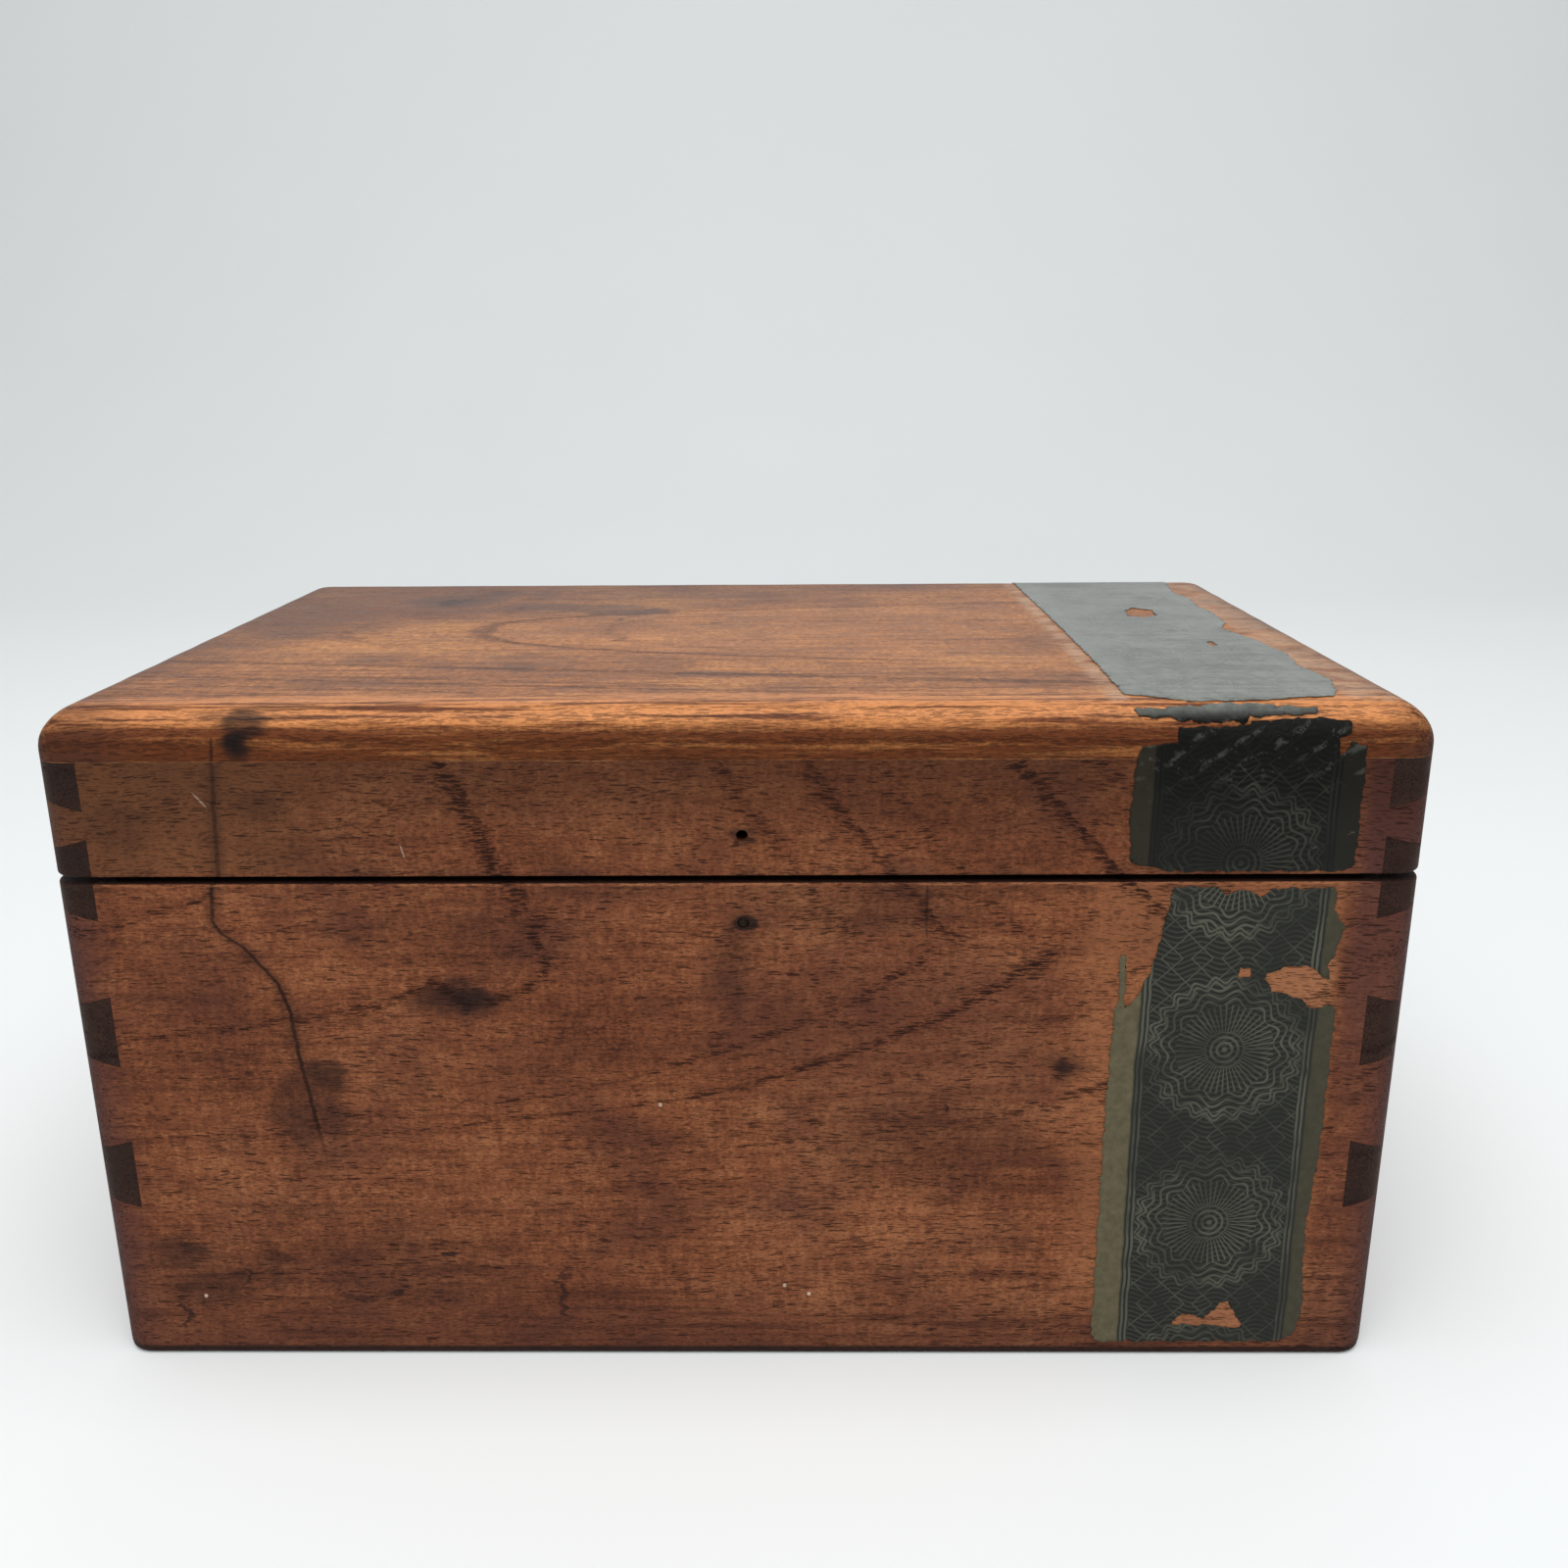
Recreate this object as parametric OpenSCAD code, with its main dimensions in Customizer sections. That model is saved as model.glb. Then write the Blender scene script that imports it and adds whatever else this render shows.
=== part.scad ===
// Antique cedar cigar box: a dovetailed case sawn in two, a glued-on top board, an inner collar,
// two small butt hinges in the saw cut and the torn remains of a paper seal.
// X runs left to right, Y front to back, Z up. The origin is the middle of the underside.

/* [Box] */
// Outer width, left to right
box_w = 230; // [205:1:260]
// Outer depth, front to back
box_d = 142; // [125:1:170]
// Height of the base, up to the saw cut
base_h = 92.7; // [86:0.1:110]
// Width of the saw cut between base and lid
kerf = 1.2; // [1:0.1:1.6]
// Height of the lid's frame, under its top board
lid_frame_h = 19.9; // [17:0.1:26]
// Thickness of the lid's top board
lid_top_t = 8.6; // [7.6:0.1:11]
// Thickness of the front, back and end boards
wall_t = 7.6; // [7.2:0.1:9]
// Thickness of the bottom board
bottom_t = 6; // [4:0.1:8]
// How far the bottom board is let into the walls
rebate_w = 2.2; // [1.2:0.1:2.4]

/* [Rounded edges] */
// Radius of the four upright corners
corner_r = 5.2; // [4.8:0.1:6]
// Radius round the edge of the top board
top_edge_r = 7; // [6:0.1:7.4]
// Radius of the ends' lower edges
bottom_edge_r = 4.5; // [3:0.1:4.7]
// Radius of the lower edges of the front and the back
foot_edge_r = 1.2; // [0.6:0.1:2]
// Easing of the edges that the saw left
kerf_edge_r = 0.5; // [0.3:0.05:0.7]

/* [Dovetails] */
// Height of a pin at its wide inner end
pin_h = 13.2; // [11:0.1:15]
// Distance from one pin to the next
pin_pitch = 27.8; // [24:0.1:30]
// Number of pins under the one that the saw cut through
pin_count = 2; // [1:1:2]
// Height of the half pin at the top of the lid's frame
top_pin_h = 8.3; // [6:0.1:9]
// How much a pin narrows towards the outside, on each cheek
pin_flare = 2.1; // [1.5:0.1:2.6]
// Glue gap round a pin
joint_gap = 0.05; // [0.03:0.01:0.1]

/* [Collar] */
// Thickness of the thin boards that line the base
collar_t = 3; // [2:0.1:4]
// How far the collar stands above the base's rim
collar_rise = 5; // [3:0.1:8]
// Room between the collar and the lid's frame
collar_gap = 0.5; // [0.4:0.05:1]

/* [Hinges] */
// Distance from the box's side to the middle of its hinge
hinge_end = 65; // [60:1:80]
// Length of a hinge, along its pin
hinge_l = 22; // [18:0.5:26]
// Width of a leaf, from the pin's axis to its far edge
leaf_w = 6; // [5.4:0.1:6.2]
// Air between the two leaves when the lid is shut
leaf_gap = 0.1; // [0.06:0.02:0.2]
// Outer diameter of the knuckles
knuckle_d = 3; // [2.6:0.1:3.4]
// Air between one knuckle and the next
knuckle_gap = 0.2; // [0.1:0.05:0.4]
// Diameter of the hinge pin
hinge_pin_d = 1.2; // [1:0.05:1.4]
// Clearance of the hinge pin in its bore, on the radius
hinge_pin_gap = 0.05; // [0.03:0.01:0.08]
// Air round the knuckles in the notches cut for them
notch_gap = 0.3; // [0.3:0.05:0.5]
// How far the pin's axis lies inside the back face
hinge_inset = 0.7; // [0.6:0.05:0.9]

/* [Nails] */
// Shank diameter of the hinge nails
nail_d = 1.1; // [0.9:0.05:1.3]
// Head diameter of the hinge nails
nail_head_d = 2; // [1.7:0.05:2.2]
// Length of the hinge nails
nail_l = 9; // [6:0.1:12]
// Distance between the two nails in a leaf
nail_spacing = 14; // [11:0.1:15]
// Clearance of a nail in its hole, on the radius
nail_gap = 0.03; // [0.02:0.01:0.05]

/* [Catch] */
// Diameter of the two nail holes left by the missing catch
catch_hole_d = 2; // [1.6:0.1:2.4]
// Depth of those holes
catch_hole_l = 6; // [4:0.1:6.4]
// Height of each hole's middle above or below the saw cut
catch_rise = 7.1; // [5:0.1:9]
// Sideways place of the holes
catch_x = 1.5; // [-10:0.1:10]
// Room round the nail broken off in the lower hole
stub_gap = 0.1; // [0.05:0.05:0.2]
// How deep the broken end lies in the hole
stub_depth = 0.6; // [0.2:0.1:2]

/* [Paper seal] */
// Thickness of the paper with its glue
seal_t = 0.15; // [0.1:0.01:0.3]
// Width of the paper strip
seal_w = 38; // [35:0.5:44]
// Distance from the strip to the right side of the box
seal_margin = 12.4; // [9:0.1:20]
// Bare wood from the front to the strip on the top
seal_top_start = 7.8; // [7.6:0.1:20]
// How far round the front top edge the front piece reaches, in degrees
seal_front_turn = 36; // [20:1:38]
// Where the loose scrap on the top edge starts, in degrees
seal_scrap_start = 42; // [40:1:46]
// Where that scrap ends, in degrees
seal_scrap_end = 69; // [55:1:75]
// How far the strip reaches down the back of the base
seal_back_l = 34; // [25:0.5:60]

/* [Hidden] */
$fn = 96;
// Sides of a full circle on the top board's rounded edge
hull_fn = 40;

cedar = [0.49, 0.28, 0.17];
cedar_end = [0.27, 0.17, 0.13];
cedar_inside = [0.62, 0.40, 0.27];
tarnished_brass = [0.45, 0.36, 0.20];
rusty_iron = [0.22, 0.17, 0.14];
seal_paper = [0.20, 0.21, 0.18];

// How far a cutting shape runs past the face that it cuts
overshoot = 1;
lid_z = base_h + kerf;
frame_top_z = lid_z + lid_frame_h;
box_h = frame_top_z + lid_top_t;
saw_z = base_h + kerf / 2;
inner_w = box_w - 2 * wall_t;
inner_d = box_d - 2 * wall_t;

// Each pin is its middle height and half its height at the wide end
saw_pin = [saw_z, (pin_h + kerf) / 2];
base_pins = concat([saw_pin], [for (i = [1:pin_count]) [saw_z - i * pin_pitch, pin_h / 2]]);
lid_pins = [saw_pin, [frame_top_z, top_pin_h]];

axis_y = box_d / 2 - hinge_inset;
hinge_x = box_w / 2 - hinge_end;
leaf_t = (kerf - leaf_gap) / 2;
knuckle_count = 3;
knuckle_l = (hinge_l - (knuckle_count - 1) * knuckle_gap) / knuckle_count;
notch_r = knuckle_d / 2 + notch_gap;
nail_y = axis_y - (leaf_w + notch_r) / 2;
nail_tip_l = nail_d;

// The paper on the back is torn clear of the knuckles
back_tear = notch_r + seal_t;
seal_x = box_w / 2 - seal_margin - seal_w;
top_edge_y = box_d / 2 - top_edge_r;
top_edge_z = box_h - top_edge_r;

// Upright section of a corner, from the corner's centre line outwards, with its two ends rounded
module corner_section(h, low_r, high_r) {
    difference() {
        square([corner_r, h]);
        if (low_r > 0)
            translate([corner_r - low_r, 0])
                difference() {
                    square(low_r);
                    translate([0, low_r]) circle(low_r);
                }
        if (high_r > 0)
            translate([corner_r - high_r, h - high_r])
                difference() {
                    square(high_r);
                    circle(high_r);
                }
    }
}

// The same section mirrored to both ends of a run
module run_section(run, h, low_r, high_r) {
    for (side = [0, 1])
        mirror([side, 0])
            translate([run / 2 - corner_r, 0])
                corner_section(h, low_r, high_r);
    translate([corner_r - run / 2, 0])
        square([run - 2 * corner_r, h]);
}

// Solid block with the case's rounded outside
module rounded_case(h, low_r, high_r) {
    for (sx = [-1, 1], sy = [-1, 1])
        translate([sx * (box_w / 2 - corner_r), sy * (box_d / 2 - corner_r), 0])
            rotate_extrude()
                corner_section(h, low_r, high_r);
    translate([0, box_d / 2 - corner_r, 0])
        rotate([90, 0, 0])
            linear_extrude(box_d - 2 * corner_r)
                run_section(box_w, h, low_r, high_r);
    translate([corner_r - box_w / 2, 0, 0])
        rotate([90, 0, 90])
            linear_extrude(box_w - 2 * corner_r)
                run_section(box_d, h, low_r, high_r);
}

// What rounding takes off the lower edge of both ends
module end_foot_waste() {
    for (side = [0, 1])
        mirror([side, 0, 0])
            translate([box_w / 2 - bottom_edge_r, box_d / 2 + overshoot, 0])
                rotate([90, 0, 0])
                    linear_extrude(box_d + 2 * overshoot)
                        difference() {
                            translate([0, -overshoot])
                                square(bottom_edge_r + overshoot);
                            translate([0, bottom_edge_r])
                                circle(bottom_edge_r);
                        }
}

module base_case() {
    difference() {
        rounded_case(base_h, foot_edge_r, kerf_edge_r);
        end_foot_waste();
    }
}

module lid_case() {
    translate([0, 0, lid_z])
        rounded_case(lid_frame_h, kerf_edge_r, 0);
}

// Outline of one pin seen from the front: x runs inwards from the outer face
module pin_outline(pin, gap) {
    slope = pin_flare / wall_t;
    inner_half = pin[1] + gap * (1 + slope);
    outer_half = pin[1] - pin_flare - overshoot * slope + gap;
    polygon([
        [-overshoot, pin[0] - outer_half],
        [wall_t + gap, pin[0] - inner_half],
        [wall_t + gap, pin[0] + inner_half],
        [-overshoot, pin[0] + outer_half]
    ]);
}

// All pins of one end, at the left or right side, through the thickness of a front or back board
module pin_row(pins, side, y, gap) {
    translate([side * box_w / 2, y + wall_t, 0])
        mirror([side > 0 ? 1 : 0, 0, 0])
            rotate([90, 0, 0])
                linear_extrude(wall_t)
                    for (pin = pins)
                        pin_outline(pin, gap);
}

// Front or back board: its ends are the tails that are left between the pins
module tail_board(y, z, h, pins) {
    difference() {
        translate([-box_w / 2, y, z])
            cube([box_w, wall_t, h]);
        for (side = [-1, 1])
            pin_row(pins, side, y, joint_gap);
    }
}

// End board: a slab between front and back, with a row of pins at each upright edge
module pin_board(side, z, h, pins) {
    translate([side * (box_w - wall_t) / 2 - wall_t / 2, -inner_d / 2, z])
        cube([wall_t, inner_d, h]);
    for (y = [-box_d / 2, inner_d / 2])
        pin_row(pins, side, y, 0);
}

// Room cut from below for the bottom board
module bottom_room() {
    translate([-inner_w / 2 - rebate_w, -inner_d / 2 - rebate_w, -overshoot])
        cube([inner_w + 2 * rebate_w, inner_d + 2 * rebate_w, bottom_t + overshoot]);
}

module catch_hole(z) {
    translate([catch_x, -box_d / 2 - overshoot, z])
        rotate([-90, 0, 0])
            cylinder(d = catch_hole_d, h = catch_hole_l + overshoot);
}

// Notches for the knuckles of both hinges
module hinge_notches() {
    for (side = [-1, 1])
        translate([side * hinge_x - hinge_l / 2 - notch_gap, axis_y, saw_z])
            rotate([0, 90, 0])
                cylinder(r = notch_r, h = hinge_l + 2 * notch_gap);
}

// A hinge nail with its countersunk head flush with a leaf, pointing down from the leaf's inner face
module nail(gap) {
    head_h = leaf_t;
    shank_l = nail_l - nail_tip_l - head_h;
    translate([0, 0, -head_h])
        cylinder(d1 = nail_d + 2 * gap, d2 = nail_head_d + 2 * gap, h = head_h);
    translate([0, 0, -head_h - shank_l - gap])
        cylinder(d = nail_d + 2 * gap, h = shank_l + gap);
    translate([0, 0, -nail_l - gap])
        cylinder(d1 = 0, d2 = nail_d + 2 * gap, h = nail_tip_l);
}

// The two nails of one leaf; up is 1 for the lid's leaf and -1 for the base's leaf
module leaf_nails(side, up, gap) {
    for (end = [-1, 1])
        translate([side * hinge_x + end * nail_spacing / 2, nail_y, saw_z + up * leaf_gap / 2])
            mirror([0, 0, up > 0 ? 1 : 0])
                nail(gap);
}

module all_nails(up, gap) {
    for (side = [-1, 1])
        leaf_nails(side, up, gap);
}

// One knuckle of a hinge, counted from its left end, with spare added at both ends
module knuckle(place, r, spare) {
    translate([place * (knuckle_l + knuckle_gap) - hinge_l / 2 - spare, 0, 0])
        rotate([0, 90, 0])
            cylinder(r = r, h = knuckle_l + 2 * spare);
}

// A leaf that lies in the saw cut, rolled into the knuckles named by own
module leaf(side, up, own, other) {
    bore_d = hinge_pin_d + 2 * hinge_pin_gap;
    plate_z = up > 0 ? leaf_gap / 2 : -leaf_gap / 2 - leaf_t;
    difference() {
        translate([side * hinge_x, axis_y, saw_z])
            difference() {
                union() {
                    translate([-hinge_l / 2, -leaf_w, plate_z])
                        cube([hinge_l, leaf_w, leaf_t]);
                    for (place = own)
                        knuckle(place, knuckle_d / 2, 0);
                }
                for (place = other)
                    knuckle(place, notch_r, knuckle_gap);
                translate([-hinge_l / 2 - overshoot, 0, 0])
                    rotate([0, 90, 0])
                        cylinder(d = bore_d, h = hinge_l + 2 * overshoot);
            }
        leaf_nails(side, up, nail_gap);
    }
}

module hinge_pin(side) {
    translate([side * hinge_x - hinge_l / 2, axis_y, saw_z])
        rotate([0, 90, 0])
            cylinder(d = hinge_pin_d, h = hinge_l);
}

// Collar board: below the rim it lies on the wall, above the rim it stands clear of the lid
module collar_section() {
    foot_z = bottom_t;
    top_z = base_h + collar_rise;
    polygon([
        [0, foot_z],
        [collar_t, foot_z],
        [collar_t, top_z],
        [2 * collar_gap, top_z],
        [collar_gap, top_z - collar_gap],
        [collar_gap, base_h],
        [0, base_h]
    ]);
}

module long_collar() {
    translate([-inner_w / 2, -inner_d / 2, 0])
        rotate([90, 0, 90])
            linear_extrude(inner_w)
                collar_section();
}

module end_collar() {
    run = inner_d - 2 * collar_t;
    translate([-inner_w / 2, run / 2, 0])
        rotate([90, 0, 0])
            linear_extrude(run)
                collar_section();
}

// A flat piece of the seal on the front, drawn with its left edge at zero and heights from the underside
module seal_on_front(points, holes) {
    translate([seal_x, -box_d / 2, 0])
        rotate([90, 0, 0])
            linear_extrude(seal_t)
                difference() {
                    polygon(points);
                    for (hole = holes)
                        polygon(hole);
                }
}

// Part of the seal bent round the top board's edge, from angle a to angle b above the level
module seal_round_edge(x, w, a, b) {
    translate([seal_x + x + w, -top_edge_y, top_edge_z])
        rotate([0, -90, 0])
            rotate([0, 0, a - 90])
                rotate_extrude(angle = b - a)
                    translate([top_edge_r, 0])
                        square([seal_t, w]);
}

module base_front() {
    color(cedar)
        difference() {
            intersection() {
                base_case();
                tail_board(-box_d / 2, 0, base_h, base_pins);
            }
            bottom_room();
            catch_hole(base_h - catch_rise);
        }
}

module base_back() {
    color(cedar)
        difference() {
            intersection() {
                base_case();
                tail_board(inner_d / 2, 0, base_h, base_pins);
            }
            bottom_room();
            hinge_notches();
            all_nails(-1, nail_gap);
        }
}

module base_end(side) {
    color(cedar_end)
        difference() {
            intersection() {
                base_case();
                pin_board(side, 0, base_h, base_pins);
            }
            bottom_room();
        }
}

module base_left() {
    base_end(-1);
}

module base_right() {
    base_end(1);
}

module base_bottom() {
    color(cedar)
        translate([-inner_w / 2 - rebate_w, -inner_d / 2 - rebate_w, 0])
            cube([inner_w + 2 * rebate_w, inner_d + 2 * rebate_w, bottom_t]);
}

module collar_front() {
    color(cedar_inside) long_collar();
}

module collar_back() {
    color(cedar_inside) mirror([0, 1, 0]) long_collar();
}

module collar_left() {
    color(cedar_inside) end_collar();
}

module collar_right() {
    color(cedar_inside) mirror([1, 0, 0]) end_collar();
}

module hinge_left_base_leaf() {
    color(tarnished_brass) leaf(-1, -1, [0, 2], [1]);
}

module hinge_right_base_leaf() {
    color(tarnished_brass) leaf(1, -1, [0, 2], [1]);
}

module hinge_left_pin() {
    color(rusty_iron) hinge_pin(-1);
}

module hinge_right_pin() {
    color(rusty_iron) hinge_pin(1);
}

module hinge_base_nails() {
    color(rusty_iron) all_nails(-1, 0);
}

module catch_nail_stub() {
    color(rusty_iron)
        translate([catch_x, stub_depth - box_d / 2, base_h - catch_rise])
            rotate([-90, 0, 0])
                cylinder(d = catch_hole_d - 2 * stub_gap, h = catch_hole_l - stub_depth);
}

module seal_base_front() {
    rim = base_h - kerf_edge_r;
    right = seal_w;
    foot = 2.5 * foot_edge_r;
    color(seal_paper)
        seal_on_front([
            [0.2, foot], [right - 1.5, foot], [right, foot + 5.5],
            [right - 0.8, 22], [right, 38], [right, 55], [right - 0.2, rim - 21.6],
            [right - 3.7, rim - 22.5], [right - 10.7, rim - 19.4], [right - 12.2, rim - 15.9],
            [right - 4.5, rim - 14.8], [right - 1.6, rim - 17.5], [right - 0.1, rim - 8],
            [right - 2, rim], [right - 12.5, rim], [right - 14.6, rim - 1.8], [right - 17.7, rim - 0.4],
            [right - 20, rim - 1.6], [right - 21.4, rim], [8.9, rim], [8.2, rim - 6.5], [7, rim - 12.6],
            [4.6, rim - 19.3], [3.3, rim - 21.8], [0.5, rim - 22.5]
        ], [
            [[14, 6.3], [15.7, 8.8], [20, 8.1], [23, 11.4], [27.1, 7], [20.7, 6.6]]
        ]);
}

// Strip on the back of the base, torn off along its lower end
module seal_base_back() {
    rim = saw_z - back_tear;
    tear = rim - seal_back_l;
    color(seal_paper)
        translate([seal_x, box_d / 2 + seal_t, 0])
            rotate([90, 0, 0])
                linear_extrude(seal_t)
                    polygon([
                        [0.3, tear + 3], [6, tear], [13, tear + 5], [21, tear + 1.5], [29, tear + 4],
                        [seal_w, tear + 1], [seal_w - 0.5, rim - 9], [seal_w, rim], [24, rim - 0.8],
                        [17, rim], [0, rim]
                    ]);
}

module lid_front() {
    color(cedar)
        difference() {
            intersection() {
                lid_case();
                tail_board(-box_d / 2, lid_z, lid_frame_h, lid_pins);
            }
            catch_hole(lid_z + catch_rise);
        }
}

module lid_back() {
    color(cedar)
        difference() {
            intersection() {
                lid_case();
                tail_board(inner_d / 2, lid_z, lid_frame_h, lid_pins);
            }
            hinge_notches();
            all_nails(1, nail_gap);
        }
}

module lid_end(side) {
    color(cedar_end)
        intersection() {
            lid_case();
            pin_board(side, lid_z, lid_frame_h, lid_pins);
        }
}

module lid_left() {
    lid_end(-1);
}

module lid_right() {
    lid_end(1);
}

// Top board: upright at its lower edge, rounded over all round above
module lid_top() {
    color(cedar)
        hull()
            for (sx = [-1, 1], sy = [-1, 1]) {
                translate([sx * (box_w / 2 - corner_r), sy * (box_d / 2 - corner_r), frame_top_z])
                    cylinder(r = corner_r, h = lid_top_t - top_edge_r, $fn = hull_fn);
                translate([sx * (box_w / 2 - top_edge_r), sy * top_edge_y, top_edge_z])
                    rotate_extrude($fn = hull_fn)
                        intersection() {
                            circle(top_edge_r, $fn = hull_fn);
                            square(top_edge_r);
                        }
            }
}

module hinge_left_lid_leaf() {
    color(tarnished_brass) leaf(-1, 1, [1], [0, 2]);
}

module hinge_right_lid_leaf() {
    color(tarnished_brass) leaf(1, 1, [1], [0, 2]);
}

module hinge_lid_nails() {
    color(rusty_iron) all_nails(1, 0);
}

// Front of the lid, up onto the rounded edge
module seal_lid_front() {
    rim = lid_z + kerf_edge_r;
    shoulder = top_edge_z - 0.6;
    tab_x = 6.6;
    tab_end = seal_w - 2.7;
    color(seal_paper) {
        seal_on_front([
            [4.5, rim], [seal_w - 1.5, rim], [seal_w, rim + 2], [seal_w - 0.3, shoulder],
            [tab_end, shoulder], [tab_end, top_edge_z], [tab_x, top_edge_z], [tab_x, shoulder],
            [1, shoulder], [0.6, rim + 10], [1.2, rim + 2]
        ], []);
        seal_round_edge(tab_x, tab_end - tab_x, 0, seal_front_turn);
    }
}

// Loose scrap that still clings to the rounded edge
module seal_lid_scrap() {
    color(seal_paper)
        seal_round_edge(1.2, seal_w - 9.2, seal_scrap_start, seal_scrap_end);
}

// Strip along the top, over the back edge and down the back of the lid
module seal_lid_top() {
    start = seal_top_start - box_d / 2;
    rim = saw_z + back_tear;
    color(seal_paper) {
        translate([seal_x, 0, box_h])
            linear_extrude(seal_t)
                polygon([
                    [1.8, start + 3.6], [8, start], [28, start + 0.4], [seal_w - 0.6, start + 2],
                    [seal_w, start + 20], [seal_w - 1.2, start + 45], [seal_w - 4.6, start + 57],
                    [seal_w - 0.6, start + 78], [seal_w, top_edge_y], [0, top_edge_y], [0.8, start + 40]
                ]);
        mirror([0, 1, 0])
            seal_round_edge(0, seal_w, 0, 90);
        translate([seal_x, box_d / 2, rim])
            cube([seal_w, seal_t, top_edge_z - rim]);
    }
}

base_front();
base_back();
base_left();
base_right();
base_bottom();
collar_front();
collar_back();
collar_left();
collar_right();
hinge_left_base_leaf();
hinge_right_base_leaf();
hinge_left_pin();
hinge_right_pin();
hinge_base_nails();
catch_nail_stub();
seal_base_front();
seal_base_back();
lid_front();
lid_back();
lid_left();
lid_right();
lid_top();
hinge_left_lid_leaf();
hinge_right_lid_leaf();
hinge_lid_nails();
seal_lid_front();
seal_lid_scrap();
seal_lid_top();
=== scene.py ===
import math

import bpy
import numpy as np
from mathutils import Matrix, Vector


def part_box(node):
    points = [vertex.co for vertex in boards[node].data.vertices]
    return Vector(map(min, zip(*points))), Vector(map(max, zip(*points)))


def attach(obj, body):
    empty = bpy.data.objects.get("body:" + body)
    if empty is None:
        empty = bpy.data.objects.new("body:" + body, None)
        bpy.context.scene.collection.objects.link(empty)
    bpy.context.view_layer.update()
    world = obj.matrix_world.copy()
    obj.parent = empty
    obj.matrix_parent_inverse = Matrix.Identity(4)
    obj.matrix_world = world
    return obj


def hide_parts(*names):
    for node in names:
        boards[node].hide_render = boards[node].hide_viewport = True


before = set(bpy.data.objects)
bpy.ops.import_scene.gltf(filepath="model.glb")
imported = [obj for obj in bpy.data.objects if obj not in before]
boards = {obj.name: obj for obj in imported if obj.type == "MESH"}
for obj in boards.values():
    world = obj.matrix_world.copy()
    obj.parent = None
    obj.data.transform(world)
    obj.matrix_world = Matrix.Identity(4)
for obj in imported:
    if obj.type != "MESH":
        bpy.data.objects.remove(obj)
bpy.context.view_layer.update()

# View: the box stands a little below eye level and is seen almost straight from the front, through a
# normal wide lens close by. The picture is square, 1600 by 1600.
PITCH, YAW, ROLL = math.radians(16.41), math.radians(-0.67), math.radians(0.39)
EYE = (0.0111, -0.2935, 0.1754)
SENSOR, FOCAL, NEAREST, FARTHEST = 36.0, 32.66, 0.01, 20.0

forward = np.array([math.sin(YAW) * math.cos(PITCH), math.cos(YAW) * math.cos(PITCH), -math.sin(PITCH)])
level = np.array([math.cos(YAW), -math.sin(YAW), 0.0])
down = np.cross(forward, level)
right = math.cos(ROLL) * level + math.sin(ROLL) * down
up = math.sin(ROLL) * level - math.cos(ROLL) * down
turned = np.array([right, up, -forward]).T
lens = bpy.data.cameras.new("view")
lens.sensor_width, lens.lens = SENSOR, FOCAL
lens.clip_start, lens.clip_end = NEAREST, FARTHEST
view = bpy.data.objects.new("view", lens)
view.matrix_world = Matrix([[*row, place] for row, place in zip(turned, EYE)] + [[0, 0, 0, 1]])
bpy.context.scene.collection.objects.link(view)
bpy.context.scene.camera = view
bpy.context.scene.view_settings.view_transform = "Standard"

# Room: a pale paper sweep that runs level under the box and bends up behind it, lit by one wide softbox
# above and a little in front, and by the white room.
X, Y, Z = 0, 1, 2
MM_PER_METRE = 1000.0
SWEEP_FRONT, SWEEP_BACK, SWEEP_R, SWEEP_TOP, SWEEP_W = -7.0, 0.8, 1.0, 3.5, 6.0
SWEEP_GREY, SWEEP_WHITE, SWEEP_BUMP = (0.80, 0.815, 0.81), (0.83, 0.845, 0.84), 0.0001
ROOM_WHITE, ROOM_STRENGTH = (0.93, 0.97, 1.0, 1.0), 0.44
SOFTBOX_PLACE, SOFTBOX_AIM = Vector((0.0, -0.5, 1.5)), Vector((0.0, 0.3, 0.15))
SOFTBOX_WIDTH, SOFTBOX_POWER = 1.8, 28.5


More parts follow.
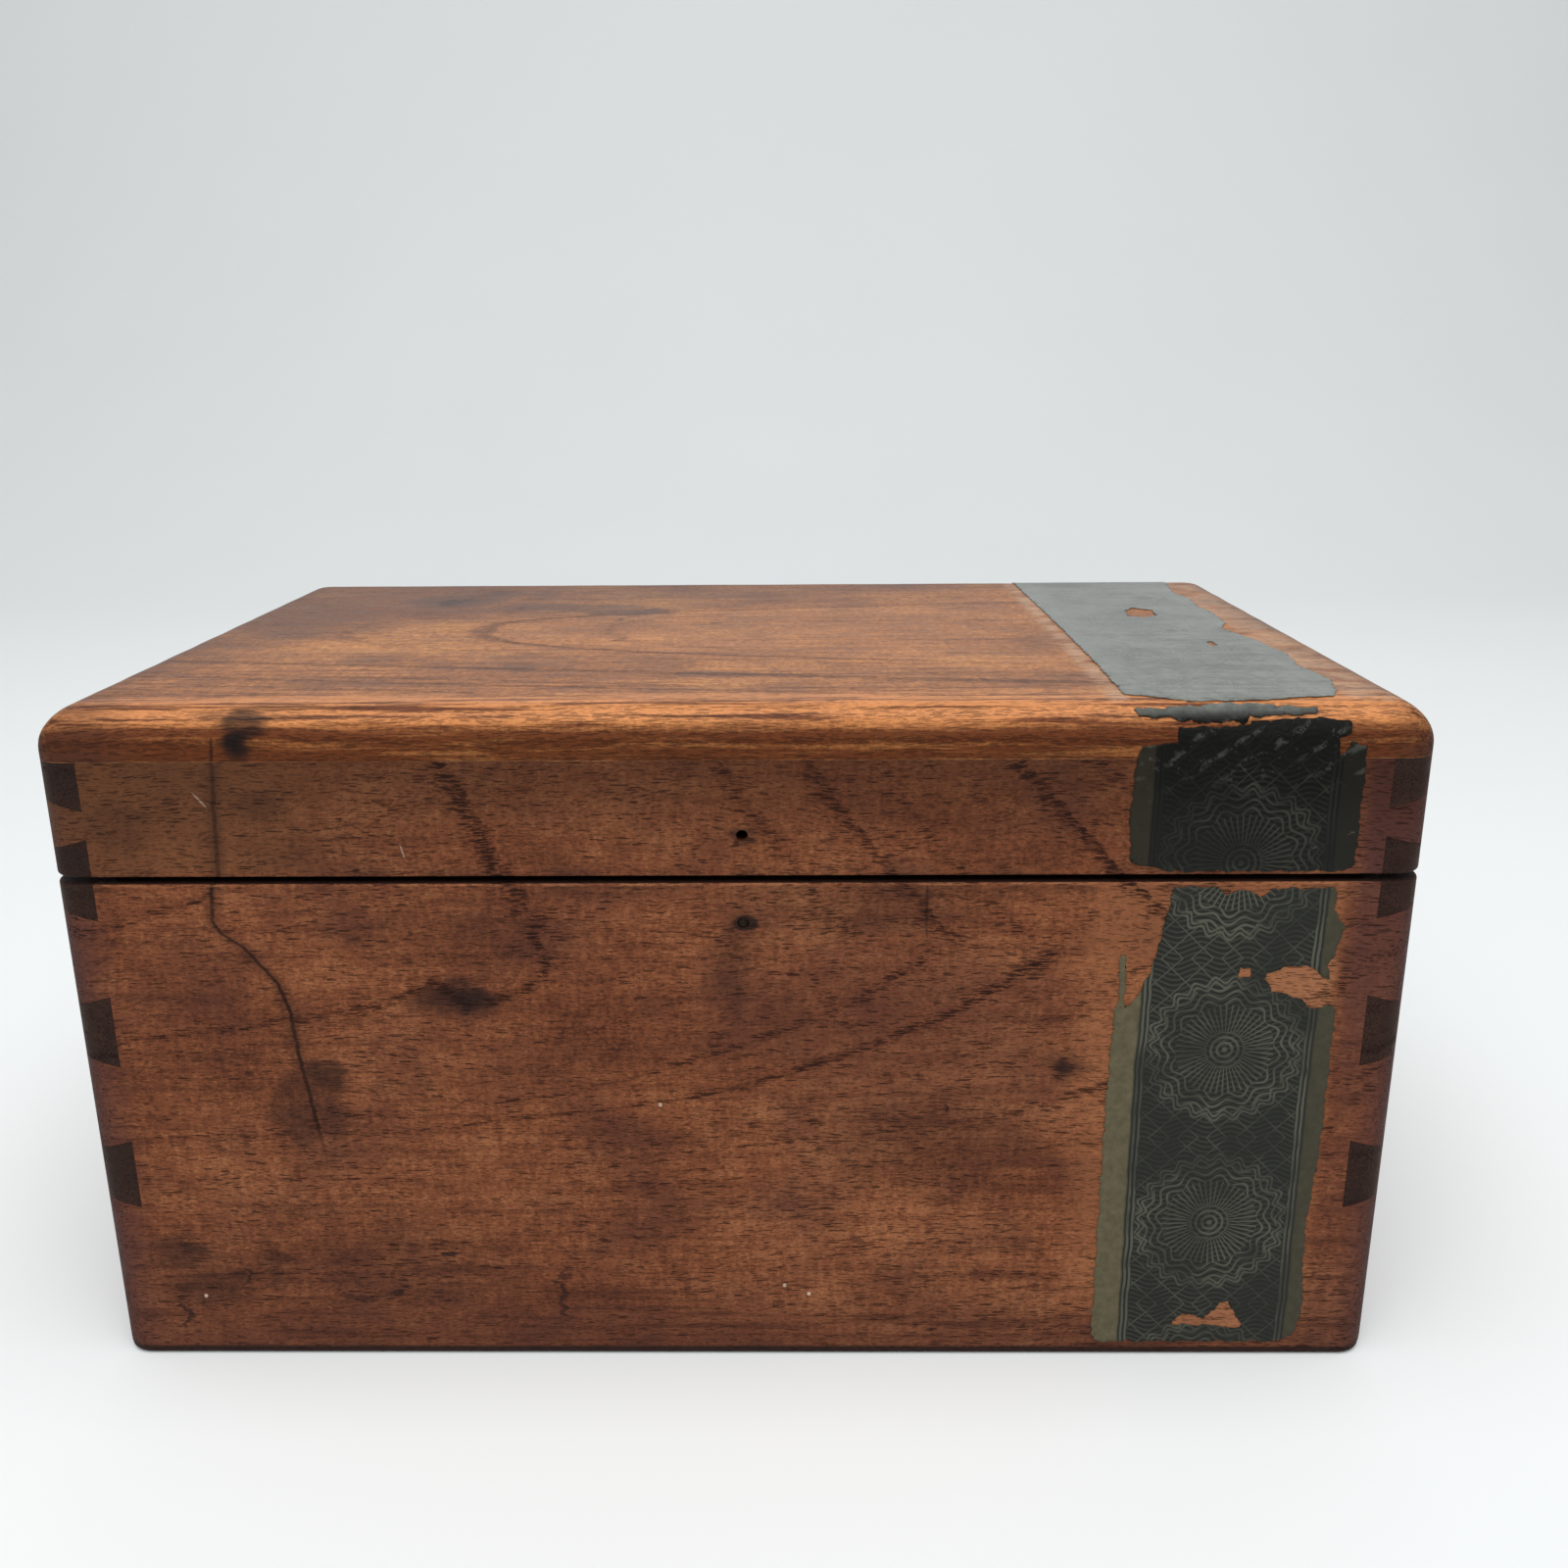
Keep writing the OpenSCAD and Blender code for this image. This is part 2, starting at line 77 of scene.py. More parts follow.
class Shade:
    """One socket of a material's nodes. Operators on it add Math nodes, and node() adds any other node."""

    def __init__(self, tree, socket=None):
        self.tree, self.socket = tree, socket

    def node(self, kind, settings={}, sockets={}, out=0):
        """Adds a node: first its settings, then its sockets' values or links; out None gives all outputs."""
        made = self.tree.nodes.new(kind)
        for key, value in settings.items():
            if key == "stops":
                ramp = made.color_ramp
                while len(ramp.elements) < len(value):
                    ramp.elements.new(1.0)
                for element, (place, colour) in zip(ramp.elements, value):
                    element.position, element.color = place, (*colour, 1.0)
            else:
                setattr(made, key, value)
        for key, value in sockets.items():
            if isinstance(value, Shade):
                self.tree.links.new(value.socket, made.inputs[key])
            else:
                made.inputs[key].default_value = value
        if out is None:
            return [Shade(self.tree, socket) for socket in made.outputs]
        return Shade(self.tree, made.outputs[out])

    def math(self, operation, *values):
        return self.node("ShaderNodeMath", {"operation": operation}, dict(enumerate(values)))

    def __add__(self, other):
        return self.math("ADD", self, other)

    def __sub__(self, other):
        return self.math("SUBTRACT", self, other)

    def __rsub__(self, other):
        return self.math("SUBTRACT", other, self)

    def __mul__(self, other):
        return self.math("MULTIPLY", self, other)

    def __truediv__(self, other):
        return self.math("DIVIDE", self, other)

    def __pow__(self, other):
        return self.math("POWER", self, other)

    def __abs__(self):
        return self.math("ABSOLUTE", self)

    def __neg__(self):
        return self.math("MULTIPLY", self, -1.0)

    __radd__, __rmul__ = __add__, __mul__

    def least(self, other):
        return self.math("MINIMUM", self, other)

    def most(self, other):
        return self.math("MAXIMUM", self, other)

    def sine(self):
        return self.math("SINE", self)

    def fraction(self):
        return self.math("FRACT", self)

    def rise(self, low, high):
        """Smooth step from 0 at low to 1 at high; it falls where low is the larger."""
        smooth = {"interpolation_type": "SMOOTHSTEP"}
        return self.node("ShaderNodeMapRange", smooth, {0: self, 1: low, 2: high})

    def ramp(self, stops):
        """Colours at places from 0 to 1, with straight runs between them."""
        return self.node("ShaderNodeValToRGB", {"stops": stops}, {0: self})

    def blend(self, colour, other):
        """The first colour where this is 0 and the other where it is 1."""
        colour, other = (c if isinstance(c, Shade) else (*c, 1.0) for c in (colour, other))
        return self.node("ShaderNodeMix", {"data_type": "RGBA"}, {0: self, 6: colour, 7: other}, 2)

    def times(self, factors, shift):
        """Each coordinate times its factor, plus a shift."""
        scaled = {"operation": "MULTIPLY_ADD"}
        return self.node("ShaderNodeVectorMath", scaled, {0: self, 1: factors, 2: shift})

    def spread(self, along, across, order=(X, Y, Z), shift=0.0):
        """Coordinates times along on order's first axis and times across on the other two, then shifted."""
        factors = [across] * 3
        factors[order[0]] = along
        return self.times(factors, (shift, shift, shift))

    def noise(self, detail=2.0, rough=0.5, out=0):
        sockets = {0: self, "Scale": 1.0, "Detail": detail, "Roughness": rough}
        return self.node("ShaderNodeTexNoise", {}, sockets, out)


def new_finish(name, **constants):
    """A new material: returns it, its shader's inputs and its Object coordinates in millimetres."""
    material = bpy.data.materials.new(name)
    material.use_nodes = True
    shader = material.node_tree.nodes["Principled BSDF"]
    for socket, value in constants.items():
        shader.inputs[socket.replace("_", " ")].default_value = value
    place = Shade(material.node_tree).node("ShaderNodeTexCoord", out=3)
    mm = place.node("ShaderNodeVectorMath", {"operation": "SCALE"}, {0: place, 3: MM_PER_METRE})
    return material, shader.inputs, mm


def feed(sockets, colour, rough, height, depth):
    """Links a colour, a roughness and a bump of that depth, in metres, to a shader."""
    tree = colour.tree
    tree.links.new(colour.socket, sockets["Base Color"])
    tree.links.new(rough.socket, sockets["Roughness"])
    bump = height.node("ShaderNodeBump", {}, {"Strength": 1.0, "Distance": depth, "Height": height})
    tree.links.new(bump.socket, sockets["Normal"])


def put_mesh(name, points, faces):
    """A smooth mesh object at the origin from an array of points and a list or array of faces."""
    mesh = bpy.data.meshes.new(name)
    mesh.from_pydata(points.reshape(-1, 3).tolist(), [], [list(face) for face in faces])
    mesh.shade_smooth()
    piece = bpy.data.objects.new(name, mesh)
    bpy.context.scene.collection.objects.link(piece)
    return piece


def grid_faces(rows, columns, closed=False):
    """Faces between the neighbours of a grid of points; closed joins the last column to the first."""
    i, j = np.meshgrid(np.arange(rows - 1), np.arange(columns - (0 if closed else 1)), indexing="ij")
    k = (j + 1) % columns
    corners = [i * columns + j, i * columns + k, (i + 1) * columns + k, (i + 1) * columns + j]
    return np.stack(corners, -1).reshape(-1, 4)


def sweep_surface():
    """Level from front to back, a quarter circle, then upright: that profile is carried along X."""
    turn = np.linspace(0, np.pi / 2, 49)
    y = np.concatenate([[SWEEP_FRONT], SWEEP_BACK + SWEEP_R * np.sin(turn), [SWEEP_BACK + SWEEP_R]])
    z = np.concatenate([[0.0], SWEEP_R - SWEEP_R * np.cos(turn), [SWEEP_TOP]])
    x, y = np.meshgrid([-SWEEP_W, SWEEP_W], y)
    return np.stack([x, y, np.repeat(z[:, None], 2, 1)], -1)


sweep_points = sweep_surface()
sweep = put_mesh("floor_sweep", sweep_points, grid_faces(len(sweep_points), 2))
sweep_paper, sockets, mm = new_finish("sweep_paper", Specular_IOR_Level=0.2)
mottle = mm.spread(0.004, 0.004).noise()
feed(sockets, mottle.blend(SWEEP_GREY, SWEEP_WHITE), 0.7 + 0.1 * mottle, mottle, SWEEP_BUMP)
sweep.data.materials.append(sweep_paper)

room = bpy.data.worlds.new("room")
room.use_nodes = True
room.node_tree.nodes["Background"].inputs["Color"].default_value = ROOM_WHITE
room.node_tree.nodes["Background"].inputs["Strength"].default_value = ROOM_STRENGTH
bpy.context.scene.world = room
light = bpy.data.lights.new("softbox", "AREA")
light.shape, light.size, light.energy = "SQUARE", SOFTBOX_WIDTH, SOFTBOX_POWER
lamp = bpy.data.objects.new("softbox", light)
lamp.location = SOFTBOX_PLACE
lamp.rotation_euler = (SOFTBOX_AIM - SOFTBOX_PLACE).to_track_quat("-Z", "Y").to_euler()
bpy.context.scene.collection.objects.link(lamp)

# Front of the case: one wide flat-sawn cedar board, dovetailed to the ends, varnished long ago and worn.
# The lid's front was sawn off the same board after gluing, so the figure runs on across the saw cut.
front_low, front_high = (MM_PER_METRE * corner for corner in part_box("base_front"))
lid_low = MM_PER_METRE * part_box("lid_front")[0]
HALF_W, HALF_D, WALL = -front_low[X], -front_low[Y], front_high[Y] - front_low[Y]
SAW_Z = (front_high[Z] + lid_low[Z]) / 2
INSIDE_X, INSIDE_Y = HALF_W - WALL, HALF_D - WALL
# The pale cedar colour is pale wood, and it also paints a highlight along the base's upper edge.
DARK_CEDAR, MID_CEDAR, PALE_CEDAR_AND_HIGHLIGHT = (0.082, 0.0250, 0.0138), (0.200, 0.0660, 0.0288), (0.360, 0.143, 0.063)
SMOKY_CEDAR, END_CEDAR = (0.088, 0.031, 0.021), (0.016, 0.0125, 0.012)
# The grime colour is dirt, and it also paints shade at the front's foot, beside the crack and in the saw
# cut.
DIRT_AND_SHADE, PORE, CRACK_DARK = (0.026, 0.013, 0.011), (0.017, 0.007, 0.005), (0.022, 0.010, 0.007)
PLANED_DARK, PLANED_PALE, CEDAR_BUMP = (0.250, 0.105, 0.050), (0.460, 0.240, 0.128), 0.00013
WORN_EDGE, DARK_STREAK = (0.085, 0.0325, 0.027), (0.050, 0.0175, 0.0115)
# The upper brown is painted shade for the top of the lid's front.
UPPER_SHADE = (0.040, 0.0140, 0.0078)
OLIVE_BROWN, TORN_WOOD, PALE_SPECK = (0.120, 0.050, 0.022), (0.36, 0.150, 0.072), (0.60, 0.48, 0.36)

# Growth lines as level and strength: below the arches' crowns, where they are long, and above them.
LOW_LINES = ((-118.0, 0.3), (-75.0, 0.7), (-31.0, 1.0), (-5.0, 0.2), (35.5, 0.7), (54.5, 1.0), (72.0, 0.25),
             (105.0, 0.75), (138.0, 0.45))
HIGH_LINES = ((-100.0, 0.3), (-34.5, 1.0), (20.5, 0.4), (38.5, 0.6), (52.0, 0.3), (83.0, 1.0), (100.0, 0.4))
LINES_LOW, LINES_SPAN = -150.0, 300.0

# The crack's way up the front, as places across and up, and the room that the ramp for it covers.
CRACK = (
    (-72.5, 38.5), (-73.5, 44.0), (-75.0, 54.5), (-76.0, 61.5), (-76.5, 69.0), (-78.0, 74.5),
    (-83.5, 81.5), (-87.0, 84.0), (-88.0, 86.0), (-87.5, 92.0), (-86.0, 94.5), (-85.5, 105.0),
    (-84.5, 118.0),
)
CRACK_LOW, CRACK_SPAN, CRACK_LEFT, CRACK_WIDE = 36.0, 86.0, -95.0, 30.0

# Marks are rows of strength, place across and up, half width and height, and core, the share that is full.
FRONT_STAINS = (
    (0.78, -48.0, 71.5, 9.5, 4.8, 0.15), (0.75, -72.0, 57.0, 6.0, 4.6, 0.2),
    (0.46, -77.0, 50.5, 5.5, 9.0, 0.5), (0.42, -70.6, 50.0, 3.0, 6.5, 0.3),
    (0.50, 57.0, 59.0, 6.0, 3.0, 0.0), (0.35, 0.0, 78.0, 4.0, 14.0, 0.0),
    (0.12, -45.0, 84.0, 26.0, 9.0, 0.0), (0.22, -66.0, 99.0, 18.0, 7.0, 0.0),
    (0.32, 34.0, 44.0, 26.0, 13.0, 0.0), (0.16, -66.0, 20.0, 34.0, 14.0, 0.0),
    (0.30, -57.0, 13.0, 14.0, 3.0, 0.0), (0.30, -78.0, 30.0, 10.0, 3.0, 0.0),
    (0.35, 20.0, 88.0, 30.0, 6.0, 0.0), (0.55, -101.0, 22.0, 9.0, 5.0, 0.0),
    (0.36, -102.0, 102.0, 7.0, 7.0, 0.0), (0.40, -78.0, 106.0, 7.0, 3.5, 0.0),
    (0.45, -97.0, 14.0, 12.0, 6.0, 0.0), (0.45, -85.0, 19.0, 3.0, 7.0, 0.0),
)
FRONT_DENTS = (
    (0.85, -46.5, 71.3, 3.6, 2.7, 0.0), (0.9, 56.8, 59.0, 2.4, 1.7, 0.0),
    (0.9, -52.0, 22.0, 1.9, 0.9, 0.3), (0.8, -63.0, 13.0, 1.4, 1.0, 0.3),
    (0.35, -65.0, 82.5, 2.6, 1.2, 0.0), (0.6, -69.0, 12.5, 4.5, 0.9, 0.3),
    (0.5, -99.0, 23.0, 4.0, 1.6, 0.3), (0.7, -33.0, 12.0, 0.7, 7.5, 0.3),
    (0.8, -102.0, 9.0, 0.6, 3.6, 0.3), (0.7, -91.0, 16.0, 0.45, 2.2, 0.3),
    (0.5, 21.0, 24.0, 1.6, 2.4, 0.3), (0.7, 36.0, 50.2, 0.6, 1.4, 0.3), (0.7, -22.0, 61.5, 1.5, 0.5, 0.3),
    (0.6, 1.5, 100.9, 2.8, 2.2, 0.3),
)
KNOT_SLIT = (0.9, -46.6, 71.6, 0.4, 2.4, 0.3)
SCRATCH = (0.6, 32.3, 88.0, 0.35, 6.5, 0.2)
NAIL_RUST = (0.95, 1.8, 85.5, 2.4, 1.7, 0.4)
TORN_PATCHES = (
    (1.0, 96.0, 74.0, 9.0, 6.5, 0.9), (1.0, 85.6, 8.2, 9.0, 4.5, 0.9), (1.0, 86.0, 76.5, 2.2, 1.8, 0.9),
)
FRONT_SPECKS = [(1.0, across, high, 0.4, 0.45, 0.4) for across, high in
                ((-13.5, 51.5), (8.0, 14.8), (12.4, 13.0), (-98.0, 12.5), (100.8, 10.8))]
NICK_STEEP, NICK_FLAT = (0.4, -30.3, 98.4, 0.2, 1.5, 0.3), (0.4, -1.7, 107.4, 0.25, 1.6, 0.3)


def blot(u, v, u0, v0, ru, rv, core):
    """1 in the middle of an ellipse, falling to 0 at its edge."""
    du, dv = (u - u0) / ru, (v - v0) / rv
    return (du * du + dv * dv).rise(1.0, core)


def strongest(masks):
    """The largest of several masks at each point."""
    top = masks[0]
    for mask in masks[1:]:
        top = top.most(mask)
    return top


def stains(u, v, *rows):
    """The strongest of several elliptical marks, each a row of strength, place, half sizes and core."""
    return strongest([strength * blot(u, v, *rest) for strength, *rest in rows])


def dashes(mm, along, across, order, line, crowd, share):
    """Long pores: stretched cells, each with a short dark dash where its chance and the crowding allow.
    Along the growth lines every cell has one, and it is fuller. Fine noise breaks the dashes up."""
    cells = mm.spread(along, across, order)
    gap, chance = cells.node("ShaderNodeTexVoronoi", {}, {0: cells, "Scale": 1.0}, None)[:2]
    rough = mm.spread(2.2 * along, 1.3 * across, order, 5.7).noise(2.0, 0.6)
    dash = (gap - 0.10 * line + 0.8 * (rough - 0.5)).rise(0.48, 0.30)
    return dash * (chance + crowd + line).rise(0.96 - share, 1.25 - share)


def cedar(name, order, figure, planed, marks, half=None, tint=None, pores=1.0, wax=None):
    """Cedar with its grain along the first axis of order and its face across the second. figure() gives the
    growth lines, and long pores crowd along them. planed() gives the bare faces inside, marks() the stains
    as masks with colours, and a groove. half is half the length of a board whose end grain shows, sunned
    scales the colours, pores is how dark the pores are, and wax() gives the shine of a handled face."""
    material, sockets, mm = new_finish(name, Specular_IOR_Level=0.05, Coat_Roughness=0.34)
    place = mm.node("ShaderNodeSeparateXYZ", {}, {0: mm}, None)
    along, across, deep = (place[axis] for axis in order)
    cloud = mm.spread(0.020, 0.034, order).noise(3.0, 0.55)
    smoke = mm.spread(0.040, 0.062, order, 7.3).noise(5.0, 0.65)
    blotch = mm.spread(0.12, 0.22, order).noise(3.0, 0.6)
    streak = mm.spread(0.030, 0.75, order).noise(4.0, 0.65)
    fibre = mm.spread(0.30, 4.5, order).noise(4.0, 0.7)
    fleck = mm.spread(0.85, 0.30, order).noise(3.0, 0.7)
    wander = mm.spread(0.035, 0.10, order).noise(3.0, 0.6)
    grit = mm.spread(1.2, 2.0, order).noise(2.0, 0.7)
    line = figure(along, across, deep, 6.0 * (wander - 0.5) + 4.0 * (blotch - 0.5))
    bent = mm.spread(0.035, 0.09, order, 3.1).noise(2.0, 0.5, 1).times((4.0, 4.0, 4.0), mm)
    coarse = dashes(bent, 0.32, 3.3, order, line, 0.7 * (cloud - 0.5) + 0.5 * (smoke - 0.5), 0.40)
    fine = dashes(bent, 0.75, 5.0, order, 0.6 * line, 0.4 * (blotch - 0.5), 0.55)
    pore = coarse.most(0.6 * fine)
    tone = 0.5 + 0.7 * (cloud - 0.5) + 0.35 * (blotch - 0.5) + 0.34 * (streak - 0.5) + 0.45 * (fibre - 0.5)
    tone = tone + 0.45 * (fleck - 0.5) + 0.60 * (grit - 0.5) - 0.14 * line
    colour = tone.ramp([(0.22, DARK_CEDAR), (0.5, MID_CEDAR), (0.80, PALE_CEDAR_AND_HIGHLIGHT)])
    colour = (0.75 * (smoke + 0.25 * (fibre - 0.5)).rise(0.43, 0.74)).blend(colour, SMOKY_CEDAR)
    if tint:
        colour = colour.node("ShaderNodeVectorMath", {"operation": "MULTIPLY"}, {0: colour, 1: tint})
    if half:
        end = abs(along).rise(half - 4.6, half - 1.0)
        colour = (end * (1.15 - 0.5 * fibre)).blend(colour, END_CEDAR)
    layers, groove = marks(*place, blotch, streak)
    for mask, paint in layers:
        colour = mask.blend(colour, paint)
    colour = (pore * pores * (0.80 + 0.18 * line)).blend(colour, PORE)
    bare = planed(*place)
    clean = (streak + 0.5 * (fibre - 0.5) - 0.12 * line).rise(0.25, 0.75).blend(PLANED_DARK, PLANED_PALE)
    colour = bare.blend(colour, (0.5 * pore).blend(clean, MID_CEDAR))
    rough = 0.50 + 0.35 * (blotch - 0.5) + 0.15 * pore + 0.18 * bare
    height = 0.35 * fibre + 0.2 * streak + 0.6 * blotch + 0.25 * fleck + 0.3 * grit
    height = height - 0.9 * pore - 1.6 * groove
    feed(sockets, colour, rough, height, CEDAR_BUMP)
    if wax:
        material.node_tree.links.new(wax(*place).socket, sockets["Coat Weight"])
    return material


def dress(finish, *names):
    """Gives CAD boards their finish."""
    for name in names:
        boards[name].data.materials.clear()
        boards[name].data.materials.append(finish)


def chosen_lines(value, lines, before, after):
    """Late wood at chosen levels, each with a strength: it darkens over before and ends over after."""
    stops = [(0.0, (0.0,) * 3)]
    for place, strength in lines:
        stops += [((place + shift - LINES_LOW) / LINES_SPAN, (full * strength,) * 3)
                  for shift, full in ((-before, 0.0), (0.0, 1.0), (after, 0.0))]
    return ((value - LINES_LOW) / LINES_SPAN).ramp(stops)


def front_figure(x, z, y, wander):
    """Nested arches that point to the right: steep above their crowns, long and low below them. They bend
    round the knot and flatten out to its left."""
    climb = z + 0.08 * x - 84.5
    low, high = (-climb).most(0.0), climb.most(0.0)
    arch = x + high * (0.78 + 0.0065 * x) + low * (1.0 + 0.028 * low) + 1.85 * (low - 33.0).most(0.0)
    arch = arch + 0.6 * (y + HALF_D) + wander
    arch = arch + 0.45 * (-60.0 - x).most(0.0) - 14.0 * blot(x, z, -37.0, 71.0, 16.0, 14.0, 0.0)
    fading = (0.50 + 0.50 * low.rise(46.0, 18.0)) * (0.7 + 0.3 * x.rise(-60.0, -44.0))
    lower = chosen_lines(arch, LOW_LINES, 3.2, 1.0) * fading
    upper = chosen_lines(arch, HIGH_LINES, 4.0, 1.2)
    above = climb.rise(-1.0, 1.0)
    return (above * upper + (1.0 - above) * lower) * (0.6 + 0.4 * wander.rise(-2.0, 1.0))


def crack_gap(x, z, streak):
    """Distance to the long crack: its sideways place is a function of height, with straight runs."""
    stops = [((high - CRACK_LOW) / CRACK_SPAN, ((across - CRACK_LEFT) / CRACK_WIDE,) * 3)
             for across, high in CRACK]
    run = ((z - CRACK_LOW) / CRACK_SPAN).ramp(stops)
    return abs(x + 0.9 * (streak - 0.5) - CRACK_LEFT - CRACK_WIDE * run)


def kerf_rim_shade(cut, depth, inner, outer):
    """Painted shade on the sawn edges, for the dark of the saw-cut gap: dark near the outer face of the
    board and lighter further in.
    """
    return cut.rise(0.72, 0.64) * (0.42 + 0.50 * depth.rise(inner, outer))


def front_inside(x, y, z):
    """The planed face inside the front, between the end boards."""
    return y.rise(-INSIDE_Y - 0.8, -INSIDE_Y - 0.2) * abs(x).rise(INSIDE_X + 0.4, INSIDE_X)


def front_marks(x, y, z, blotch, streak):
    """Knot, stains, nail marks, grime along the saw cut, the crack, and pale wood where paper came off.
    Also painted shade up the lid's front, at the foot, on the sawn edges and beside the crack, and a painted
    highlight along the base's upper edge.
    """
    u = x + 8.0 * (blotch - 0.5) + 7.0 * (streak - 0.5)
    v = z + 7.0 * (blotch - 0.5) + 3.0 * (streak - 0.5)
    shaky = x + 3.0 * (blotch - 0.5)
    past_paper = 0.25 + 0.52 * z.rise(40.0, 78.0) + 0.2 * z.rise(93.0, 94.0)
    worn = (abs(shaky).rise(104.5, 112.0) * 0.75).most(shaky.rise(100.5, 105.5) * past_paper)
    foot = (z.rise(20.0, 1.0) * 0.5).most(stains(u, v, (0.45, 32.0, 66.0, 36.0, 26.0, 0.0)))
    # Painted shade: the lid's front darkens upwards towards the joint under the top board.
    upper = z.rise(93.0, 113.0) * 0.62
    drawn = streak.rise(0.47, 0.38) * (0.16 + 0.30 * z.rise(30.0, 8.0)) * z.rise(93.3, 92.0)
    olive = z.rise(93.0, 96.0) * x.rise(-58.0, -84.0) * 0.55
    # Painted shade: the lowest two millimetres of the front go near black, for the shade where it meets the
    # floor.
    sole_shade = z.rise(2.2, 1.4) * 0.96
    cut = abs(z - SAW_Z)
    gap = crack_gap(x, z, streak)
    # Beside the crack, above about 50 mm, a broad soft band is added: painted shade along the crack.
    soft = stains(u, v, *FRONT_STAINS).most(0.4 * gap.rise(2.2, 0.2) * z.rise(46.0, 56.0))
    hard = strongest([stains(u, v, *FRONT_DENTS), stains(x, z, KNOT_SLIT),
                      stains(x + 1.2 * (blotch - 0.5), z, SCRATCH),
                      stains(x + 2.0 * (blotch - 0.5), z, NAIL_RUST)])
    grime = cut.rise(4.0, 1.0) * blotch.rise(0.44, 0.62) * 0.42
    crack = gap.rise(0.50, 0.10) * z.rise(37.8, 50.0) * (0.75 + 0.9 * (blotch - 0.3)).least(1.0)
    crack = crack * (1.0 - 0.35 * z.rise(93.0, 95.0))
    beside = x.rise(55.0, 63.0) * x.rise(103.5, 100.0) * z.rise(4.0, 20.0) * z.rise(93.5, 92.0) * 0.35
    torn = stains(x, z, *TORN_PATCHES) * x.rise(102.4, 100.0) * (0.5 + 0.9 * (blotch - 0.3)).least(0.9)
    # Painted highlight: a broken pale line along the base's upper edge, just under the saw cut.
    edge = z.rise(92.1, 92.35) * z.rise(92.75, 92.55) * blotch.rise(0.46, 0.58) * 0.55
    specks = strongest([stains(x, z, *FRONT_SPECKS), stains(x + 0.25 * z, z, NICK_STEEP),
                        stains(x + 0.8 * z, z, NICK_FLAT)])
    # Painted shade on the sawn edges, for the dark of the saw-cut gap.
    rim = kerf_rim_shade(cut, y, -65.5, -67.8)
    layers = [(worn, WORN_EDGE), (foot, SMOKY_CEDAR), (drawn, DARK_STREAK), (upper, UPPER_SHADE),
              (olive, OLIVE_BROWN), (beside, PALE_CEDAR_AND_HIGHLIGHT), (torn, TORN_WOOD), (soft, DIRT_AND_SHADE), (grime, DIRT_AND_SHADE),
              (hard.most(sole_shade), DIRT_AND_SHADE), (0.9 * crack, CRACK_DARK), (edge, PALE_CEDAR_AND_HIGHLIGHT),
              (0.8 * specks, PALE_SPECK), (rim, DIRT_AND_SHADE)]
    return layers, crack.most(0.5 * hard)


front_cedar = cedar("cedar_front", (X, Z, Y), front_figure, front_inside, front_marks, HALF_W)
dress(front_cedar, "base_front", "lid_front")

# Back of the case: the same cedar, joined like the front and sawn through with it. It has grime along the
# saw cut and the foot, painted shade on its sawn edges, a few dents, and paler wood under the paper.
BACK_DENTS = (
    (1.0, -62.0, 44.0, 4.0, 2.4, 0.3), (1.0, 18.0, 71.0, 2.0, 1.4, 0.3),
    (1.0, -18.0, 20.0, 5.0, 1.5, 0.3), (1.0, 47.0, 106.0, 3.0, 1.6, 0.3),
)
RING_STEP, DENT_DARK, DENT_DEEP = 21.0, 0.7, 0.3


def growth(rings):
    """Late wood of growth rings at even steps: dark lines that fade towards the heart, some of them weak."""
    part = (rings / RING_STEP).fraction()
    weak = 0.15 + 0.55 * (0.19 * rings).sine().rise(-0.7, 0.9)
    return part.rise(0.80, 0.97) * part.rise(1.0, 0.98) * weak


def back_figure(x, z, y, wander):
    """Flat arches that point to the left, with their crowns low on the board."""
    climb = z - 38.0 - 0.05 * x
    return growth((climb * climb + 40.0) ** 0.5 * 1.9 - 0.55 * x - 0.4 * y + wander)


def back_inside(x, y, z):
    """The planed face inside the back, between the end boards."""
    return y.rise(INSIDE_Y + 0.8, INSIDE_Y + 0.2) * abs(x).rise(INSIDE_X + 0.4, INSIDE_X)


def back_marks(x, y, z, blotch, streak):
    """Grime along the saw cut and the foot, dents, pale wood under the paper, and painted shade on the
    sawn edges.
    """
    cut, shake = abs(z - SAW_Z), 6.0 * (blotch - 0.5)
    worn = (abs(x).rise(100.0, 113.0) * 0.35).most(z.rise(14.0, 1.0) * 0.5)
    dents = stains(x + shake, z + shake, *BACK_DENTS)
    under = x.rise(64.3, 65.2) * x.rise(103.4, 102.6) * z.rise(42.0, 52.0) * 0.3
    grime = cut.rise(5.0, 1.0) * blotch.rise(0.42, 0.62) * 0.6
    layers = [(worn, SMOKY_CEDAR), (under, PALE_CEDAR_AND_HIGHLIGHT), (grime, DIRT_AND_SHADE), (DENT_DARK * dents, DIRT_AND_SHADE),
              # Painted shade on the sawn edges, for the dark of the saw-cut gap.
              (kerf_rim_shade(cut, y, 65.5, 67.8), DIRT_AND_SHADE)]
    return layers, DENT_DEEP * dents


back_cedar = cedar("cedar_back", (X, Z, Y), back_figure, back_inside, back_marks, HALF_W)
dress(back_cedar, "base_back", "lid_back")

# Ends of the case: shorter cedar boards whose pins stand through the front and back and show dark end
# grain there. The saw went through the middle of the upper pins.
END_DENTS = (
    (1.0, -30.0, 30.0, 4.0, 2.0, 0.3), (1.0, 22.0, 63.0, 2.5, 1.6, 0.3),
    (1.0, 40.0, 103.0, 3.5, 1.8, 0.3), (1.0, 4.0, 12.0, 5.0, 1.4, 0.3),
)


def end_figure(y, z, x, wander):
    """Long low arches along the board, with their crowns near the lid."""
    climb = z - 74.0 + 0.1 * y
    return growth((climb * climb + 60.0) ** 0.5 * 2.1 + 0.5 * y + 0.3 * x + wander)


